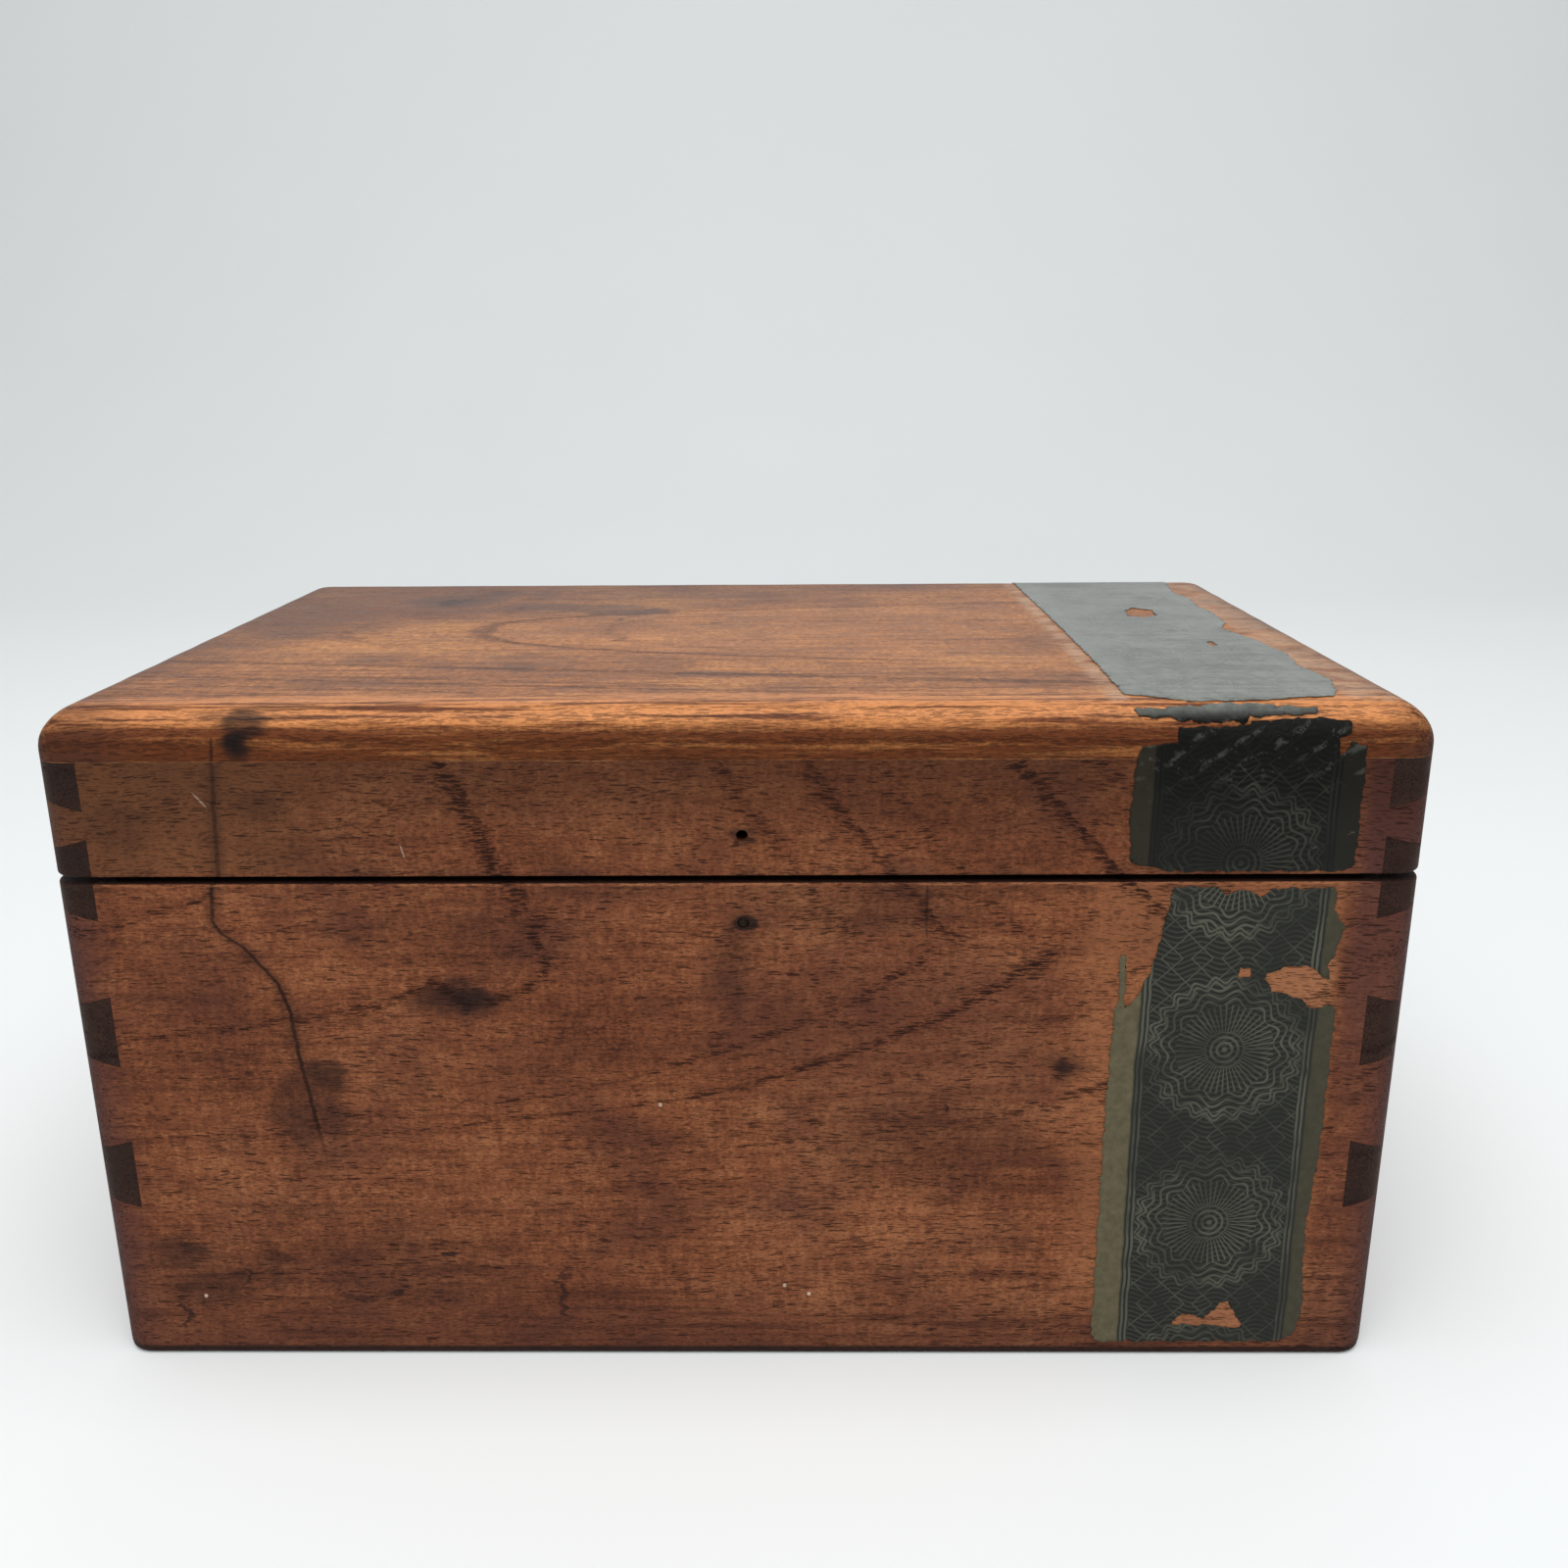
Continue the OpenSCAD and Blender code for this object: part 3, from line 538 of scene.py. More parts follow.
def end_inside(x, y, z):
    """The planed faces inside the ends, between the front and the back."""
    return abs(x).rise(INSIDE_X + 0.6, INSIDE_X + 0.1) * abs(y).rise(INSIDE_Y + 0.4, INSIDE_Y)


def end_marks(x, y, z, blotch, streak):
    """Grime along the saw cut and the foot, a few dark dents, and painted shade on the sawn edges."""
    cut, shake = abs(z - SAW_Z), 6.0 * (blotch - 0.5)
    worn = (z.rise(14.0, 1.0) * 0.5).most(cut.rise(5.0, 1.0) * blotch.rise(0.42, 0.62) * 0.5)
    dents = stains(y + shake, z + shake, *END_DENTS)
    # Painted shade on the sawn edges, for the dark of the saw-cut gap.
    rim = kerf_rim_shade(cut, abs(x), 109.5, 111.8)
    return [(worn, DIRT_AND_SHADE), (DENT_DARK * dents, DIRT_AND_SHADE), (rim, DIRT_AND_SHADE)], DENT_DEEP * dents


end_cedar = cedar("cedar_ends", (Y, Z, X), end_figure, end_inside, end_marks, HALF_D)
dress(end_cedar, "base_left", "base_right", "lid_left", "lid_right")

# Bottom and collar: thin planed boards left bare. The bottom is let into a rebate from below, and the four
# collar boards line the base and stand above its rim to centre the lid.


def straight_figure(along, across, deep, wander):
    """Quarter-sawn wood: lines straight along the board."""
    return growth(3.1 * across + 2.3 * deep + 0.07 * along + 0.5 * wander)


def bare_marks(x, y, z, blotch, streak):
    """Old dust, and painted shade on the faces that look out through the saw cut, for the dark of the gap;
    no groove.
    """
    out = abs(y).rise(INSIDE_Y - 0.2, INSIDE_Y - 0.05).most(abs(x).rise(INSIDE_X - 0.2, INSIDE_X - 0.05))
    # Painted shade on the collars' outward faces inside the saw cut.
    gap_shade = out * z.rise(91.0, 92.0) * z.rise(95.6, 94.6)
    return [(blotch.rise(0.5, 0.75) * 0.3, DARK_CEDAR), (gap_shade, DIRT_AND_SHADE)], 0.0


def bottom_bare(x, y, z):
    """Bare on the upper face only."""
    return z.rise(4.0, 5.0)


def collar_bare(x, y, z):
    """Bare all over, apart from the outward faces in the saw cut."""
    return abs(y).rise(INSIDE_Y, INSIDE_Y - 0.2) * abs(x).rise(INSIDE_X, INSIDE_X - 0.2)


bottom_cedar = cedar("cedar_bottom", (X, Y, Z), straight_figure, bottom_bare, bare_marks)
long_collar = cedar("collar_long", (X, Z, Y), straight_figure, collar_bare, bare_marks)
short_collar = cedar("collar_short", (Y, Z, X), straight_figure, collar_bare, bare_marks)
dress(bottom_cedar, "base_bottom")
dress(long_collar, "collar_front", "collar_back")
dress(short_collar, "collar_left", "collar_right")

# Top of the lid: one cedar board glued on the frame and rounded over all round, so that its arris is worn
# smooth. A painted highlight makes the arris paler than the front below it.
TOP_LOW, TOP_HIGH = (MM_PER_METRE * corner[Z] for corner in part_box("lid_top"))
TOP_ROUND, TOP_CORNER = 7.0, 5.2
# The top board's colours are multiplied up, lighter and more orange than the other boards.
TOP_TINT, TOP_PORES, TOP_SHARP = (1.845, 2.06, 1.44), 0.6, math.radians(50.0)
# The arris pale is a painted highlight along the front arris.
HEART_PALE, EDGE_BROWN, ARRIS_HIGHLIGHT = (0.60, 0.275, 0.120), (0.108, 0.0290, 0.0103), (0.64, 0.250, 0.090)
RUT_BROWN, TIP_BROWN, STAIN_BROWN = (0.105, 0.027, 0.014), (0.062, 0.026, 0.017), (0.115, 0.052, 0.036)
BALD_WOOD, BURNT = (0.50, 0.33, 0.22), (0.012, 0.008, 0.008)
TOP_LINES = (
    (-79.0, 0.6), (-76.0, 0.8), (-73.0, 0.5), (-70.2, 0.5), (-67.6, 0.5), (-63.0, 0.5), (-57.0, 0.8),
    (-53.5, 0.5), (-43.5, 1.0),
)
ARCH_LINES = ((-28.0, 0.3), (0.0, 1.0), (26.0, 0.3))
TOP_STAINS = (
    (0.80, -71.0, 39.0, 15.0, 12.0, 0.1), (0.55, -62.0, 51.0, 6.0, 9.0, 0.0),
    (0.45, -50.0, 50.0, 4.0, 14.0, 0.0), (0.75, -42.0, 30.0, 24.0, 7.5, 0.1),
    (0.80, -27.0, 24.0, 13.0, 5.5, 0.1), (0.30, -5.0, 48.0, 36.0, 9.0, 0.0),
    (0.45, -98.0, 16.0, 18.0, 34.0, 0.0), (0.40, -106.0, -28.0, 10.0, 26.0, 0.0),
    (0.50, -5.0, -44.0, 16.0, 4.0, 0.0), (0.40, -40.0, -38.0, 10.0, 5.0, 0.0),
    (0.50, 109.0, 16.0, 6.0, 28.0, 0.0), (0.30, 40.0, 58.0, 30.0, 8.0, 0.0),
    (0.70, 107.0, 34.0, 4.0, 6.0, 0.0), (0.60, 109.0, 52.0, 3.0, 8.0, 0.0),
)
TOP_DENTS = (
    (0.6, -70.0, 39.0, 5.0, 5.0, 0.0), (0.8, -7.0, 9.5, 1.3, 1.5, 0.0),
    (0.7, -25.0, -10.0, 1.8, 1.6, 0.0), (0.6, -27.0, 16.0, 0.8, 4.0, 0.0),
)
BURN = (
    (1.0, -80.6, -75.8, 3.3, 4.8, 0.0), (0.78, -79.8, -71.4, 5.2, 5.8, 0.2),
    (0.4, -75.5, -66.6, 8.0, 2.4, 0.0), (0.35, -85.0, -69.3, 4.2, 2.2, 0.0),
)


def top_board_surface():
    """Rounded rectangles stacked as loops: up the edge, round the arris on a quarter circle and in over the
    top; each loop's half sizes shrink by its inset. Small waves along the loop wear the arris down."""
    turn = np.linspace(0.0, np.pi / 2, 15)
    high = TOP_HIGH - TOP_ROUND
    over = TOP_ROUND - TOP_ROUND * np.cos(turn)
    inset = np.concatenate([[40.0, 0.10, 0.03, 0.0, 0.0], over, [9.0, 14.0, 24.0, 40.0, 60.0]])
    edge = [TOP_LOW, TOP_LOW, TOP_LOW + 0.03, TOP_LOW + 0.1, high - 0.3]
    z = np.concatenate([edge, high + TOP_ROUND * np.sin(turn), [TOP_HIGH] * 5])
    corner = np.maximum(TOP_CORNER - 0.55 * inset, 0.5)
    bow = np.linspace(0.0, np.pi / 2, 13)
    run = np.linspace(0.0, 1.0, 60)[1:-1]
    x, y = [], []
    for k, (sx, sy) in enumerate([(1, 1), (-1, 1), (-1, -1), (1, -1)]):
        cx, cy = sx * (HALF_W - inset - corner), sy * (HALF_D - inset - corner)
        angle = bow + k * np.pi / 2
        x.append(cx[:, None] + corner[:, None] * np.cos(angle))
        y.append(cy[:, None] + corner[:, None] * np.sin(angle))
    for rows in (x, y):
        starts = [row[:, :1] for row in rows[1:] + rows[:1]]
        lasts = [row[:, -1:] for row in rows]
        rows[:] = [np.hstack([row, last + (start - last) * run])
                   for row, last, start in zip(rows, lasts, starts)]
    x, y = np.hstack(x), np.hstack(y)
    z = np.repeat(z[:, None], x.shape[1], 1)
    way = np.sin(0.21 * x + 0.9) + np.sin(0.37 * y + 0.5) + 0.6 * np.sin(0.83 * x - 0.41 * y)
    way = way + 0.4 * np.sin(1.9 * x + 2.3 * y)
    crest = np.exp(-((z - high - 5.0) / 2.2) ** 2)
    return np.stack([x, y, z - 0.035 * (way + 3.0) * crest], -1) / MM_PER_METRE


def top_arch(x, y):
    """One wide arch that points to the left, its lower arm longer: 0 on its line and below 0 inside it."""
    below, above = (3.0 - y).most(0.0), (y - 3.0).most(0.0)
    return 0.0042 * below ** 2.8 + 0.0155 * above ** 2.6 - (x + 54.5)


def top_figure(x, y, z, wander):
    """Long lines that fall a little to the right and go on round the front arris, closer together there, and
    behind them the arch."""
    fall = y - (TOP_HIGH - z)
    lines = chosen_lines(fall + 0.13 * x * y.rise(-68.0, -56.0) + 0.35 * wander, TOP_LINES, 1.7, 0.6)
    arch = chosen_lines(0.7 * wander - top_arch(x, y), ARCH_LINES, 5.0, 2.0)
    return lines.most(arch * x.rise(70.0, 20.0) * z.rise(121.0, 122.0))


def top_inside(x, y, z):
    """The planed underside, which closes the lid's hollow."""
    return z.rise(TOP_LOW + 0.2, TOP_LOW)


def top_marks(x, y, z, blotch, streak):
    """Dark stain at the back left, smoky patches, a burn on the front arris, the crack's end, scuffs by the
    paper, end grain with rings at both ends, and a painted highlight along the arris. fall goes on from the
    top's depth down the front arris."""
    fall = y - (TOP_HIGH - z)
    u, v = x + 12.0 * (blotch - 0.5), y + 14.0 * (blotch - 0.5)
    soft, hard = stains(u, v, *TOP_STAINS), stains(u, v, *TOP_DENTS)
    burn = stains(x + 4.0 * (blotch - 0.5) + 4.0 * (streak - 0.5), fall, *BURN)
    crack = y.rise(-55.0, -60.0) * crack_gap(x, z, streak).rise(0.42, 0.06) * z.rise(118.4, 117.0) * 0.8
    ends = (y - 0.35 * x).rise(0.0, 90.0) * 0.7
    tips = (abs(x).rise(104.0, 113.5) * 0.72).most((x + 0.6 * (y + 64.0)).rise(-98.0, -110.0) * 0.62)
    sawn = x.node("ShaderNodeCombineXYZ", {}, {0: 0.05 * x, 1: 1.5 * y, 2: 1.5 * z}).noise(3.0, 0.7)
    rings = (y * y + (z - 40.0) * (z - 40.0)) ** 0.5 * 1.3 + 2.0 * (blotch - 0.5)
    tips = tips * (0.72 + 1.1 * (sawn - 0.5) + 0.30 * rings.sine().rise(-0.2, 0.9)).least(1.0).most(0.0)
    chatter = x.node("ShaderNodeCombineXYZ", {}, {0: 1.5 * x, 1: 0.12 * fall, 2: 0.3 * y}).noise(2.0, 0.6)
    ledge = fall + 2.6 * (chatter - 0.5) * abs(x - 10.0).rise(85.0, 60.0)
    low = ledge.rise(-71.0, -74.4) * 0.94 * (1.0 - 0.45 * streak.rise(0.50, 0.62))
    # Painted highlight: a pale band along the front arris, broken by the streaks.
    arris = fall.rise(-75.0, -70.0) * fall.rise(-56.0, -64.0) * 0.86
    arris = arris * (0.25 + 0.75 * streak.rise(0.42, 0.54))
    rut = fall.rise(-54.0, -67.0) * fall.rise(-75.0, -72.0) * streak.rise(0.46, 0.40) * 0.75
    heart = 0.16 * top_arch(x, y).rise(0.0, -16.0) * x.rise(75.0, 30.0)
    flat = z.rise(121.9, 122.3)
    fine = (0.28 + 0.16 * y.rise(-25.0, -45.0)) * flat * streak.rise(0.47, 0.38)
    beside = flat * x.rise(61.0, 63.6) * x.rise(66.0, 64.6) * blotch.rise(0.35, 0.6) * 0.6
    bald = flat * x.rise(100.0, 103.0) * x.rise(113.0, 106.0) * blotch.rise(0.35, 0.55) * 0.45
    layers = [(heart, HEART_PALE), (ends, SMOKY_CEDAR), (low, EDGE_BROWN), (arris, ARRIS_HIGHLIGHT),
              (rut.most(fine), RUT_BROWN), (tips, TIP_BROWN), (0.8 * soft, STAIN_BROWN), (0.3 * soft, DIRT_AND_SHADE),
              (beside.most(bald), BALD_WOOD), (hard, DIRT_AND_SHADE), (burn, BURNT), (0.95 * crack, CRACK_DARK)]
    return layers, crack.most(0.4 * hard)


def top_wax(x, y, z):
    """A low shine on the upper face, fading down the arris."""
    return 0.35 * z.rise(119.5, 122.2)


top_points = top_board_surface()
loops, around = top_points.shape[:2]
closing = [list(range(around))[::-1], list(range((loops - 1) * around, loops * around))]
top_board = put_mesh("lid_top_board", top_points, grid_faces(loops, around, True).tolist() + closing)
top_board.data.set_sharp_from_angle(angle=TOP_SHARP)
top_board.data.materials.append(cedar("cedar_top", (X, Y, Z), top_figure, top_inside, top_marks,
                                      tint=TOP_TINT, pores=TOP_PORES, wax=top_wax))
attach(top_board, "lid")
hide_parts("lid_top")

# Hinges and nails: two small butt hinges of thin brass, gone brown, with iron pins, set in the saw cut and
# fixed by iron nails. A broken nail of the lost catch is still in the front.
BRASS_DARK, BRASS_BRIGHT = (0.11, 0.065, 0.03), (0.36, 0.235, 0.095)
RUST_DARK, RUST_BRIGHT = (0.030, 0.020, 0.016), (0.115, 0.062, 0.038)
# The stub's colours are old iron darkened to near black, painted shade for the hole the stub sits in.
STUB_DARK, STUB_BRIGHT = (0.003, 0.002, 0.002), (0.035, 0.022, 0.016)
METAL_BUMP = 0.00005


def old_metal(name, dark, bright, metal, rough):
    """Metal with patches of dark tarnish and a fine grain."""
    material, sockets, mm = new_finish(name, Metallic=metal, Specular_IOR_Level=0.1)
    patch = mm.spread(0.45, 0.45).noise(3.0, 0.6)
    grain = mm.spread(5.0, 5.0).noise(3.0, 0.6)
    colour = (patch + 0.4 * (grain - 0.5)).rise(0.35, 0.65).blend(dark, bright)
    feed(sockets, colour, rough + 0.4 * (patch - 0.5), grain, METAL_BUMP)
    return material


dress(old_metal("brown_brass", BRASS_DARK, BRASS_BRIGHT, 0.9, 0.45),
      "hinge_left_base_leaf", "hinge_right_base_leaf", "hinge_left_lid_leaf", "hinge_right_lid_leaf")
dress(old_metal("rusty_iron", RUST_DARK, RUST_BRIGHT, 0.5, 0.65),
      "hinge_left_pin", "hinge_right_pin", "hinge_base_nails", "hinge_lid_nails")
# The stub is near black and not metal: painted shade for its hole, on old iron.
dress(old_metal("broken_nail", STUB_DARK, STUB_BRIGHT, 0.0, 0.8), "catch_nail_stub")

# Paper seal: one strip of dark printed paper, pasted up the front, over the lid and down the back, then
# slit along the saw cut and torn. Its engraved ground is a chain of rosettes between lattices.
STRIP_X = MM_PER_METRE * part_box("seal_lid_top")[0][X]
STRIP_FOOT, STRIP_STEP, PAPER_T = 1.2, 0.5, 0.085
STRIP_ROOM, STRIP_SNAP = 1.5, 0.75 * STRIP_STEP
STRIP_UP, STRIP_R, STRIP_FLAT = TOP_HIGH - TOP_ROUND, TOP_ROUND, 2 * (HALF_D - TOP_ROUND)
OVER_FRONT = STRIP_UP + STRIP_R * math.pi / 2
OVER_BACK = OVER_FRONT + STRIP_FLAT
DOWN_BACK = OVER_BACK + STRIP_R * math.pi / 2
PRINT_SCALE, PRINT_MIDDLE, ROSE_STEP, ROSE_FIRST = 400.0, 19.3, 34.0, 11.0
INK_BASE, INK_LID = (0.0205, 0.0213, 0.0178), (0.0105, 0.0105, 0.0090)
INK_BEND, INK_PALE = (0.0050, 0.0050, 0.0043), (0.104, 0.105, 0.080)
OLIVE_DARK, OLIVE_PALE = (0.082, 0.069, 0.038), (0.150, 0.128, 0.076)
# The faded greys are faded paper, painted lighter for the sheen of the pale room on the top.
FADED_SHEEN_DARK, FADED_SHEEN_PALE, FADED_SPOT = (0.092, 0.098, 0.089), (0.232, 0.240, 0.214), (0.045, 0.050, 0.046)
# The creased colour is a painted highlight on the creases of the bend.
SCUFFED, CREASE_HIGHLIGHT, PAPER_BUMP = (0.14, 0.125, 0.095), (0.070, 0.072, 0.062), 0.00009
PAPER_SPOTS = (
    (1.0, 27.4, 230.0, 3.4, 3.6, 0.0), (1.0, 23.4, 187.4, 1.3, 1.8, 0.0),
    (1.0, 35.0, 187.0, 3.5, 4.0, 0.0), (1.0, 22.4, 165.4, 0.9, 1.3, 0.0),
    (1.0, 12.0, 250.0, 9.0, 6.0, 0.0),
)

# Torn outlines, as places across the strip and along it from the foot of the front.
BASE_OUTLINE = (
    (8.5, 91.8), (16.0, 91.8), (17.5, 90.5), (20.0, 91.5), (23.0, 90.0), (25.0, 91.5), (35.5, 91.5),
    (35.5, 87.5), (37.5, 84.5), (36.5, 80.0), (35.5, 78.5), (36.0, 74.5), (33.0, 77.5), (28.5, 77.5),
    (25.0, 76.0), (26.5, 73.0), (31.5, 71.5), (33.5, 69.5), (37.5, 70.5), (37.5, 43.0), (36.5, 26.5),
    (37.5, 9.0), (36.0, 4.0), (33.0, 3.0), (0.0, 3.0), (-0.5, 4.5), (-0.5, 50.0), (0.0, 69.5),
    (3.0, 70.5), (5.5, 76.0), (6.5, 80.0), (8.0, 88.0),
)
BASE_SLIVER = ((0.5, 80.0), (1.5, 79.5), (1.5, 69.8), (0.5, 69.5))
BASE_HOLES = (((20.5, 77.5), (22.5, 77.0), (22.5, 75.5), (20.5, 75.5)),
              ((14.0, 6.5), (15.5, 9.0), (20.0, 8.0), (22.5, 11.0), (24.0, 11.5), (27.0, 6.5), (27.5, 5.5),
               (20.5, 6.5)))
LID_OUTLINE = (
    (1.0, 96.0), (0.5, 104.0), (1.0, 112.5), (1.5, 116.0), (7.5, 116.5), (7.5, 119.0), (19.0, 119.2),
    (19.5, 120.0), (30.0, 120.7), (35.5, 120.0), (35.5, 118.0), (33.5, 117.0), (33.5, 115.0),
    (34.0, 114.5), (35.5, 116.5), (38.0, 116.0), (38.0, 95.5), (36.0, 94.6), (7.5, 94.6), (4.0, 95.5),
)
SCRAP_OUTLINE = (
    (1.0, 122.5), (11.0, 123.2), (14.0, 123.8), (20.0, 123.8), (24.3, 123.3), (24.7, 122.2),
    (25.0, 123.2), (30.3, 122.4), (30.5, 121.4), (19.5, 120.9), (18.5, 119.9), (10.0, 119.9),
    (6.0, 120.7), (1.5, 121.0),
)
TOP_OUTLINE = (
    (0.5, 129.0), (8.0, 125.2), (11.0, 124.5), (23.0, 125.0), (34.5, 127.0), (36.0, 129.5), (38.5, 139.5),
    (37.0, 152.0), (38.5, 162.0), (37.0, 176.0), (34.0, 190.0), (36.5, 196.0), (37.5, 208.0),
    (36.5, 217.0), (37.5, 229.0), (36.0, 238.0), (38.0, 252.0), (37.5, 285.4), (0.0, 285.4), (1.0, 194.0),
    (1.0, 154.5),
)
TOP_HOLES = (((18.0, 205.0), (21.0, 203.0), (24.5, 206.0), (25.0, 212.5), (21.5, 216.0), (19.0, 212.0)),
             ((26.5, 171.0), (27.5, 170.0), (28.0, 175.0), (27.0, 175.5)))
BACK_OUTLINE = (
    (0.0, 289.6), (17.0, 289.6), (24.0, 290.3), (38.0, 289.6), (37.5, 299.0), (38.0, 322.0),
    (33.0, 320.5), (29.0, 319.0), (21.0, 321.5), (13.0, 318.0), (6.0, 322.5), (0.5, 320.0),
)


def strip_place(u, s, lift):
    """A point u across the strip and s along it: up the front, round a quarter circle, back over the top,
    round another and down the back; lift is its distance from the wood."""
    foot = np.maximum(STRIP_FOOT - s, 0.0) / STRIP_FOOT
    front = np.clip((s - STRIP_UP) / STRIP_R, 0.0, np.pi / 2)
    back = np.clip((s - OVER_BACK) / STRIP_R, 0.0, np.pi / 2)
    y = -STRIP_FLAT / 2 - STRIP_R * np.cos(front) + np.clip(s - OVER_FRONT, 0.0, STRIP_FLAT)
    y = y + STRIP_R * np.sin(back)
    z = np.clip(s, STRIP_FOOT, STRIP_UP) + STRIP_R * np.sin(front) - STRIP_R * (1 - np.cos(back))
    z = z - np.maximum(s - DOWN_BACK, 0.0)
    y, z = y + STRIP_FOOT * (1 - np.cos(foot)), z - STRIP_FOOT * np.sin(foot)
    facing = front + back - foot
    return np.stack([STRIP_X + u, y - lift * np.cos(facing), z + lift * np.sin(facing)], -1) / MM_PER_METRE


def outline_gap(u, s, outline):
    """Distance to a closed outline, below zero inside it: to the nearest edge, signed by crossings."""
    a = np.array(outline, float)
    b = np.roll(a, -1, 0)
    du, ds = (b - a).T
    pu, ps = u[..., None] - a[:, 0], s[..., None] - a[:, 1]
    share = np.clip((pu * du + ps * ds) / (du * du + ds * ds), 0.0, 1.0)
    gap = np.sqrt(((pu - share * du) ** 2 + (ps - share * ds) ** 2).min(-1))
    spans = (a[:, 1] > s[..., None]) != (b[:, 1] > s[..., None])
    crossed = spans & (pu < ps * du / np.where(ds == 0, 1e-9, ds))
    return np.where(crossed.sum(-1) % 2 == 1, -gap, gap)


def torn_paper(name, islands, holes, fray):
    """A grid over the outlines. Points near the torn line are moved onto it, squares outside are left out,
    and small waves and the lift of the torn edge keep the sheet from lying dead flat."""
    corners = np.concatenate([np.array(island, float) for island in islands])
    low, high = corners.min(0) - STRIP_ROOM, corners.max(0) + STRIP_ROOM
    u, s = np.meshgrid(np.arange(low[0], high[0], STRIP_STEP), np.arange(low[1], high[1], STRIP_STEP))
    gap = np.min([outline_gap(u, s, island) for island in islands], 0)
    gap = np.max([gap] + [-outline_gap(u, s, hole) for hole in holes], 0)
    ragged = np.sin(1.9 * u + 0.7 * s) + np.sin(2.3 * s - 1.1 * u + 1.0)
    ragged = ragged + 0.7 * np.sin(4.1 * s + 3.3 * u) + 0.6 * np.sin(5.3 * u - 3.7 * s)
    gap = gap + fray * ragged
    slope_s, slope_u = np.gradient(gap, STRIP_STEP)
    steep = np.maximum(slope_s ** 2 + slope_u ** 2, 0.25)
    near = np.abs(gap) < STRIP_SNAP
    moved_u, moved_s = u - near * gap * slope_u / steep, s - near * gap * slope_s / steep
    wave = np.sin(0.31 * u + 0.11 * s) * np.sin(0.23 * s - 0.17 * u + 0.6)
    lift = 0.02 + 0.012 * (wave + 1.0) + 0.02 * np.exp(np.minimum(gap, 0.0) / 0.7)
    faces = grid_faces(*u.shape)
    inside = gap.ravel()[faces]
    faces = faces[(inside.max(1) < STRIP_SNAP) & (inside.min(1) < 0.0)]
    used, faces = np.unique(faces, return_inverse=True)
    faces = faces.reshape(-1, 4)
    piece = put_mesh(name, strip_place(moved_u, moved_s, lift).reshape(-1, 3)[used], faces)
    own = piece.data.uv_layers.new(name="print")
    printed = np.stack([moved_u, moved_s], -1).reshape(-1, 2)[used][faces.ravel()] / PRINT_SCALE
    own.data.foreach_set("uv", printed.astype(np.float32).ravel())
    sheet = piece.modifiers.new("thickness", "SOLIDIFY")
    sheet.thickness, sheet.offset = PAPER_T / MM_PER_METRE, 1.0
    return piece


def engraving(u, v, side):
    """Pale lines of the print: rosettes whose rings swing with the angle, a fan and a heart in each,
    lattices between them, ruled waves over all and two border lines, as sine waves of millimetres."""
    pu, pv = u - PRINT_MIDDLE, ((v - ROSE_FIRST) / ROSE_STEP).fraction() * ROSE_STEP - ROSE_STEP / 2
    reach = (pu * pu + pv * pv) ** 0.5
    angle = pv.math("ARCTAN2", pv, pu)
    rosette = ((reach + 0.7 * (12.0 * angle).sine()) * 4.4).sine().rise(0.2, 0.8)
    swing = reach + 0.6 * (24.0 * angle).sine()
    rim = strongest([abs(swing - far).rise(0.36, 0.12) for far in (12.2, 13.1)])
    lattice = strongest([abs(((pu + sign * pv) * 0.62).sine()).rise(0.15, 0.05) for sign in (1.0, -1.0)])
    fan = (48.0 * angle).sine().rise(0.3, 0.8)
    in_rose, in_fan, heart = reach.rise(12.4, 11.8), reach.rise(8.6, 8.2), reach.rise(3.6, 3.2)
    lines = (1.0 - in_rose) * (0.75 * lattice) + in_rose * (1.0 - in_fan) * rosette
    lines = lines + in_fan * (1.0 - heart) * fan
    lines = lines.most(heart * (reach * 6.0).sine().rise(0.0, 0.6)).most(rim)
    lines = lines.most(0.36 * ((v + 0.6 * (0.8 * u).sine()) * 6.5).sine().rise(0.0, 0.9))
    border = strongest([abs(side - far).rise(0.32, 0.12) for far in (13.7, 14.5)])
    return (lines * side.rise(13.5, 13.2)).most(border * (0.35 + 0.65 * v.rise(95.0, 90.0)))


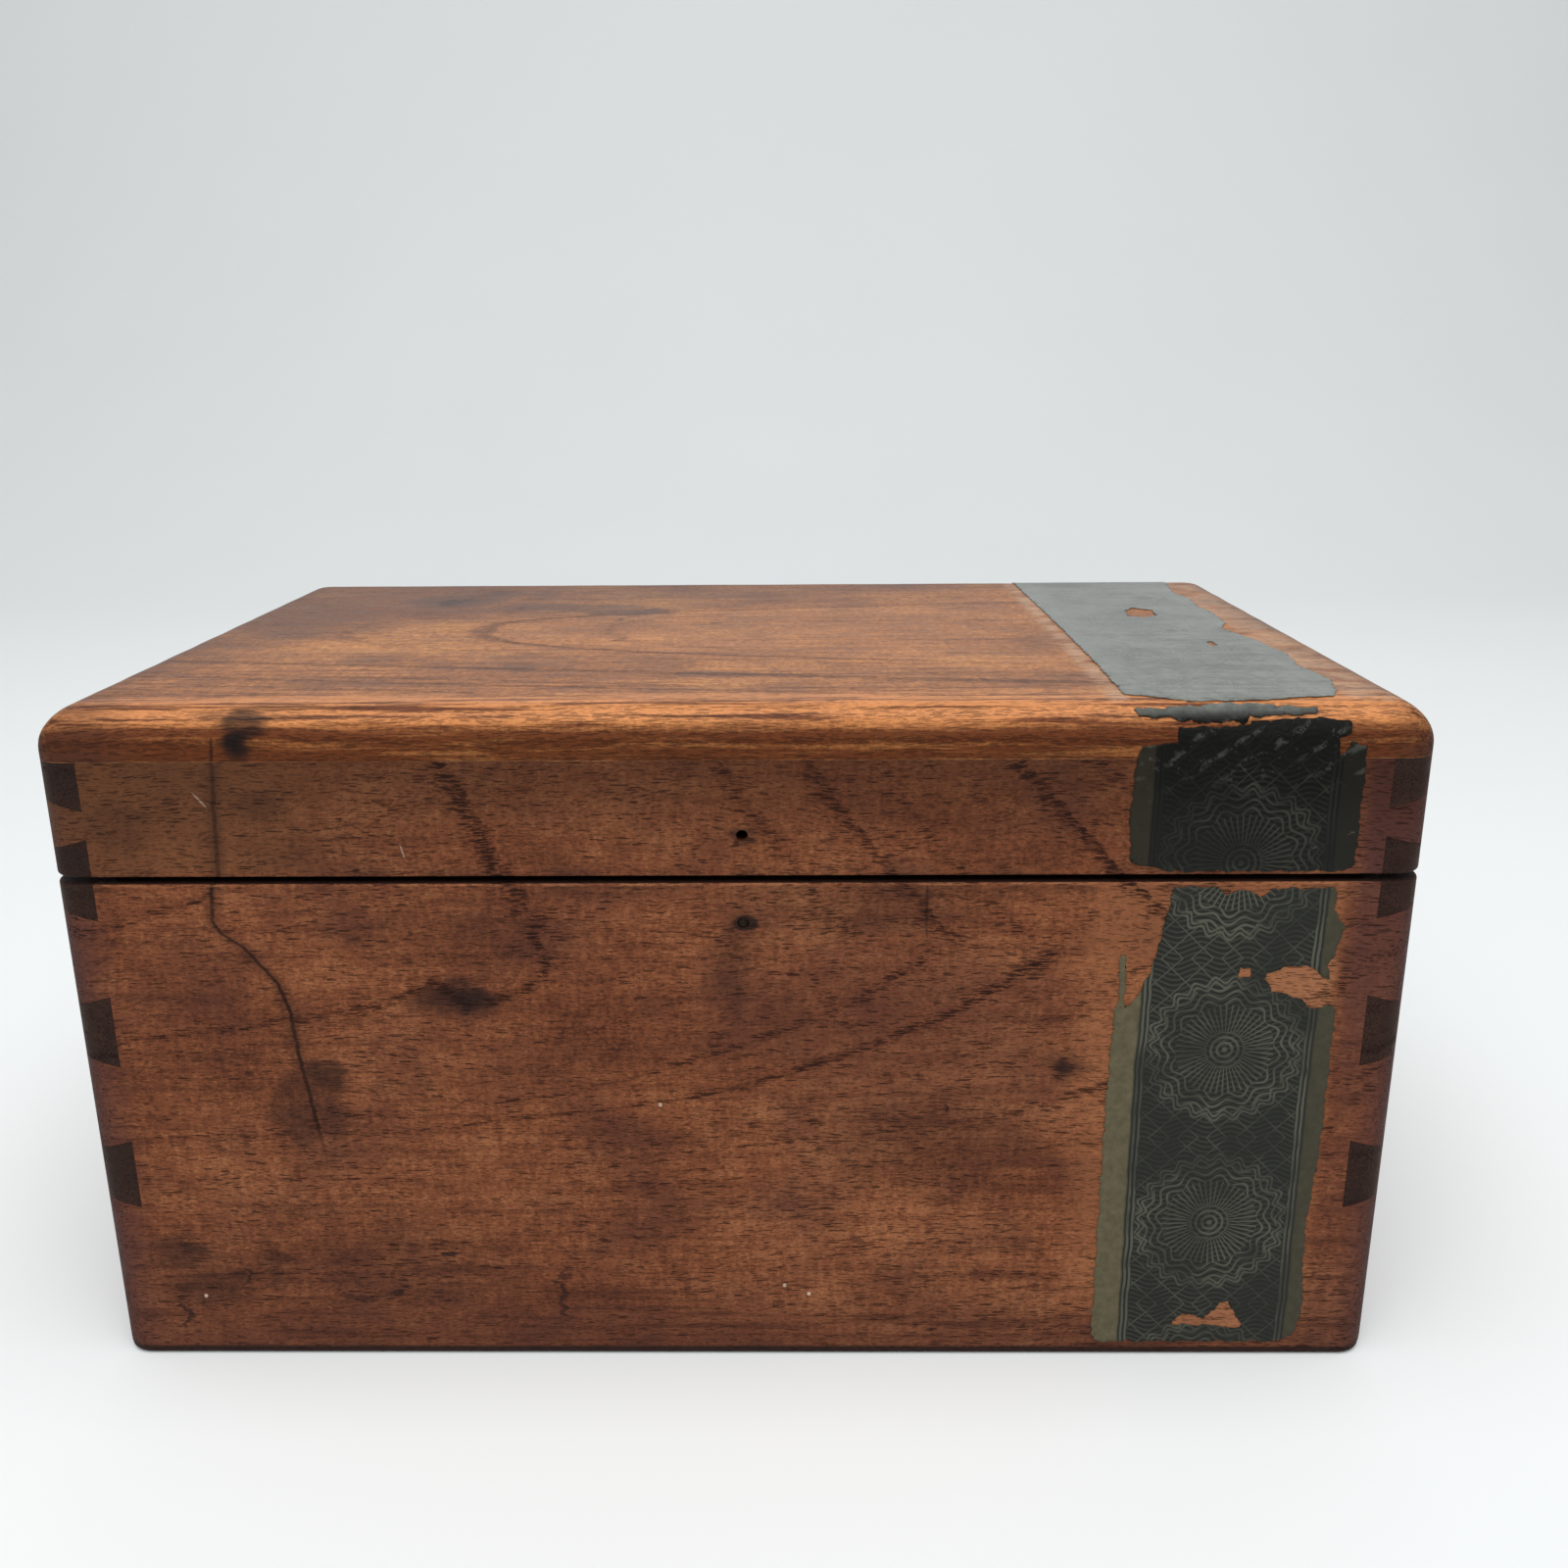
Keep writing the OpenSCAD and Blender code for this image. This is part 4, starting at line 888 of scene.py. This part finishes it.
def seal_print():
    """Dark ink on paper with engraved lines. The unprinted margins are olive, the bend on the lid's front is
    creased, with painted highlights on the creases, and the top has faded to grey, painted lighter still for
    the sheen of the pale room on it, with the grain of the wood showing through."""
    material, sockets, mm = new_finish("seal_print", Specular_IOR_Level=0.07, Coat_Roughness=0.3)
    own = mm.node("ShaderNodeUVMap", {"uv_map": "print"})
    u, v = (part * PRINT_SCALE for part in mm.node("ShaderNodeSeparateXYZ", {}, {0: own}, None)[:2])
    place = mm.spread(0.09, 0.09).noise(3.0, 0.6)
    scuff = mm.spread(0.55, 0.55).noise(4.0, 0.7)
    grain = mm.spread(4.0, 4.0).noise(2.0, 0.6)
    telegraph = mm.spread(0.03, 0.9).noise(3.0, 0.6)
    side = abs(u - PRINT_MIDDLE) + 1.4 * (place - 0.5)
    margin = side.rise(14.8, 15.4)
    lines = engraving(u, v, side) * (1.0 - margin)
    on_base = v.rise(95.0, 90.0)
    bright = lines * (0.30 + 0.70 * place.rise(0.35, 0.6)) * (0.30 + 0.5 * v.rise(96.0, 90.0))
    bright = bright * v.rise(121.0, 108.0).most(v.rise(262.0, 275.0))
    ground = v.rise(99.0, 112.0).blend(v.rise(92.0, 96.0).blend(INK_BASE, INK_LID), INK_BEND)
    olive = scuff.rise(0.1, 0.9).blend(OLIVE_DARK, OLIVE_PALE)
    bared = margin * (0.35 + 0.55 * u.rise(22.0, 18.0)) * (0.16 + 0.84 * on_base)
    colour = bared.blend(bright.blend(ground, INK_PALE), olive)
    colour = (scuff.rise(0.66, 0.74) * 0.4).blend(colour, SCUFFED)
    # Painted highlights: pale streaks along the creases of the bend, for the gloss on them.
    fold_highlights = (0.9 * u - 1.3 * v + 9.0 * (place - 0.5)).sine().rise(0.55, 1.0) * scuff.rise(0.46, 0.60)
    fold_highlights = fold_highlights.most(scuff.rise(0.60, 0.70)) * v.rise(107.0, 114.0) * v.rise(121.5, 119.5)
    colour = (0.55 * fold_highlights).blend(colour, CREASE_HIGHLIGHT)
    # The top's grey is faded paper, painted lighter as well for the sheen of the pale room on it.
    faded = v.rise(119.9, 124.4) * v.rise(268.0, 262.0)
    grey = 0.5 + 0.5 * (telegraph - 0.5) + 0.9 * (scuff - 0.5) + 0.6 * (place - 0.5)
    colour = (0.90 * faded).blend(colour, grey.rise(0.2, 0.8).blend(FADED_SHEEN_DARK, FADED_SHEEN_PALE))
    colour = (0.55 * stains(u + 3.0 * (scuff - 0.5), v, *PAPER_SPOTS)).blend(colour, FADED_SPOT)
    material.node_tree.links.new((0.45 * faded).socket, sockets["Coat Weight"])
    rough = 0.45 - 0.12 * faded + 0.3 * (scuff - 0.5) + 0.1 * lines
    height = 0.6 * lines + 0.5 * place + 0.25 * grain + 0.4 * scuff + 0.5 * faded * telegraph
    feed(sockets, colour, rough, height, PAPER_BUMP)
    return material


seal_finish = seal_print()
for name, islands, holes, fray, body in (
    ("seal_base_front", (BASE_OUTLINE, BASE_SLIVER), BASE_HOLES, 0.11, "base"),
    ("seal_lid_front", (LID_OUTLINE,), (), 0.10, "lid"),
    ("seal_lid_scrap", (SCRAP_OUTLINE,), (), 0.13, "lid"),
    ("seal_lid_top", (TOP_OUTLINE,), TOP_HOLES, 0.10, "lid"),
    ("seal_base_back", (BACK_OUTLINE,), (), 0.14, "base"),
):
    paper = torn_paper(name.replace("seal", "paper"), islands, holes, fray)
    paper.data.materials.append(seal_finish)
    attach(paper, body)
    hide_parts(name)
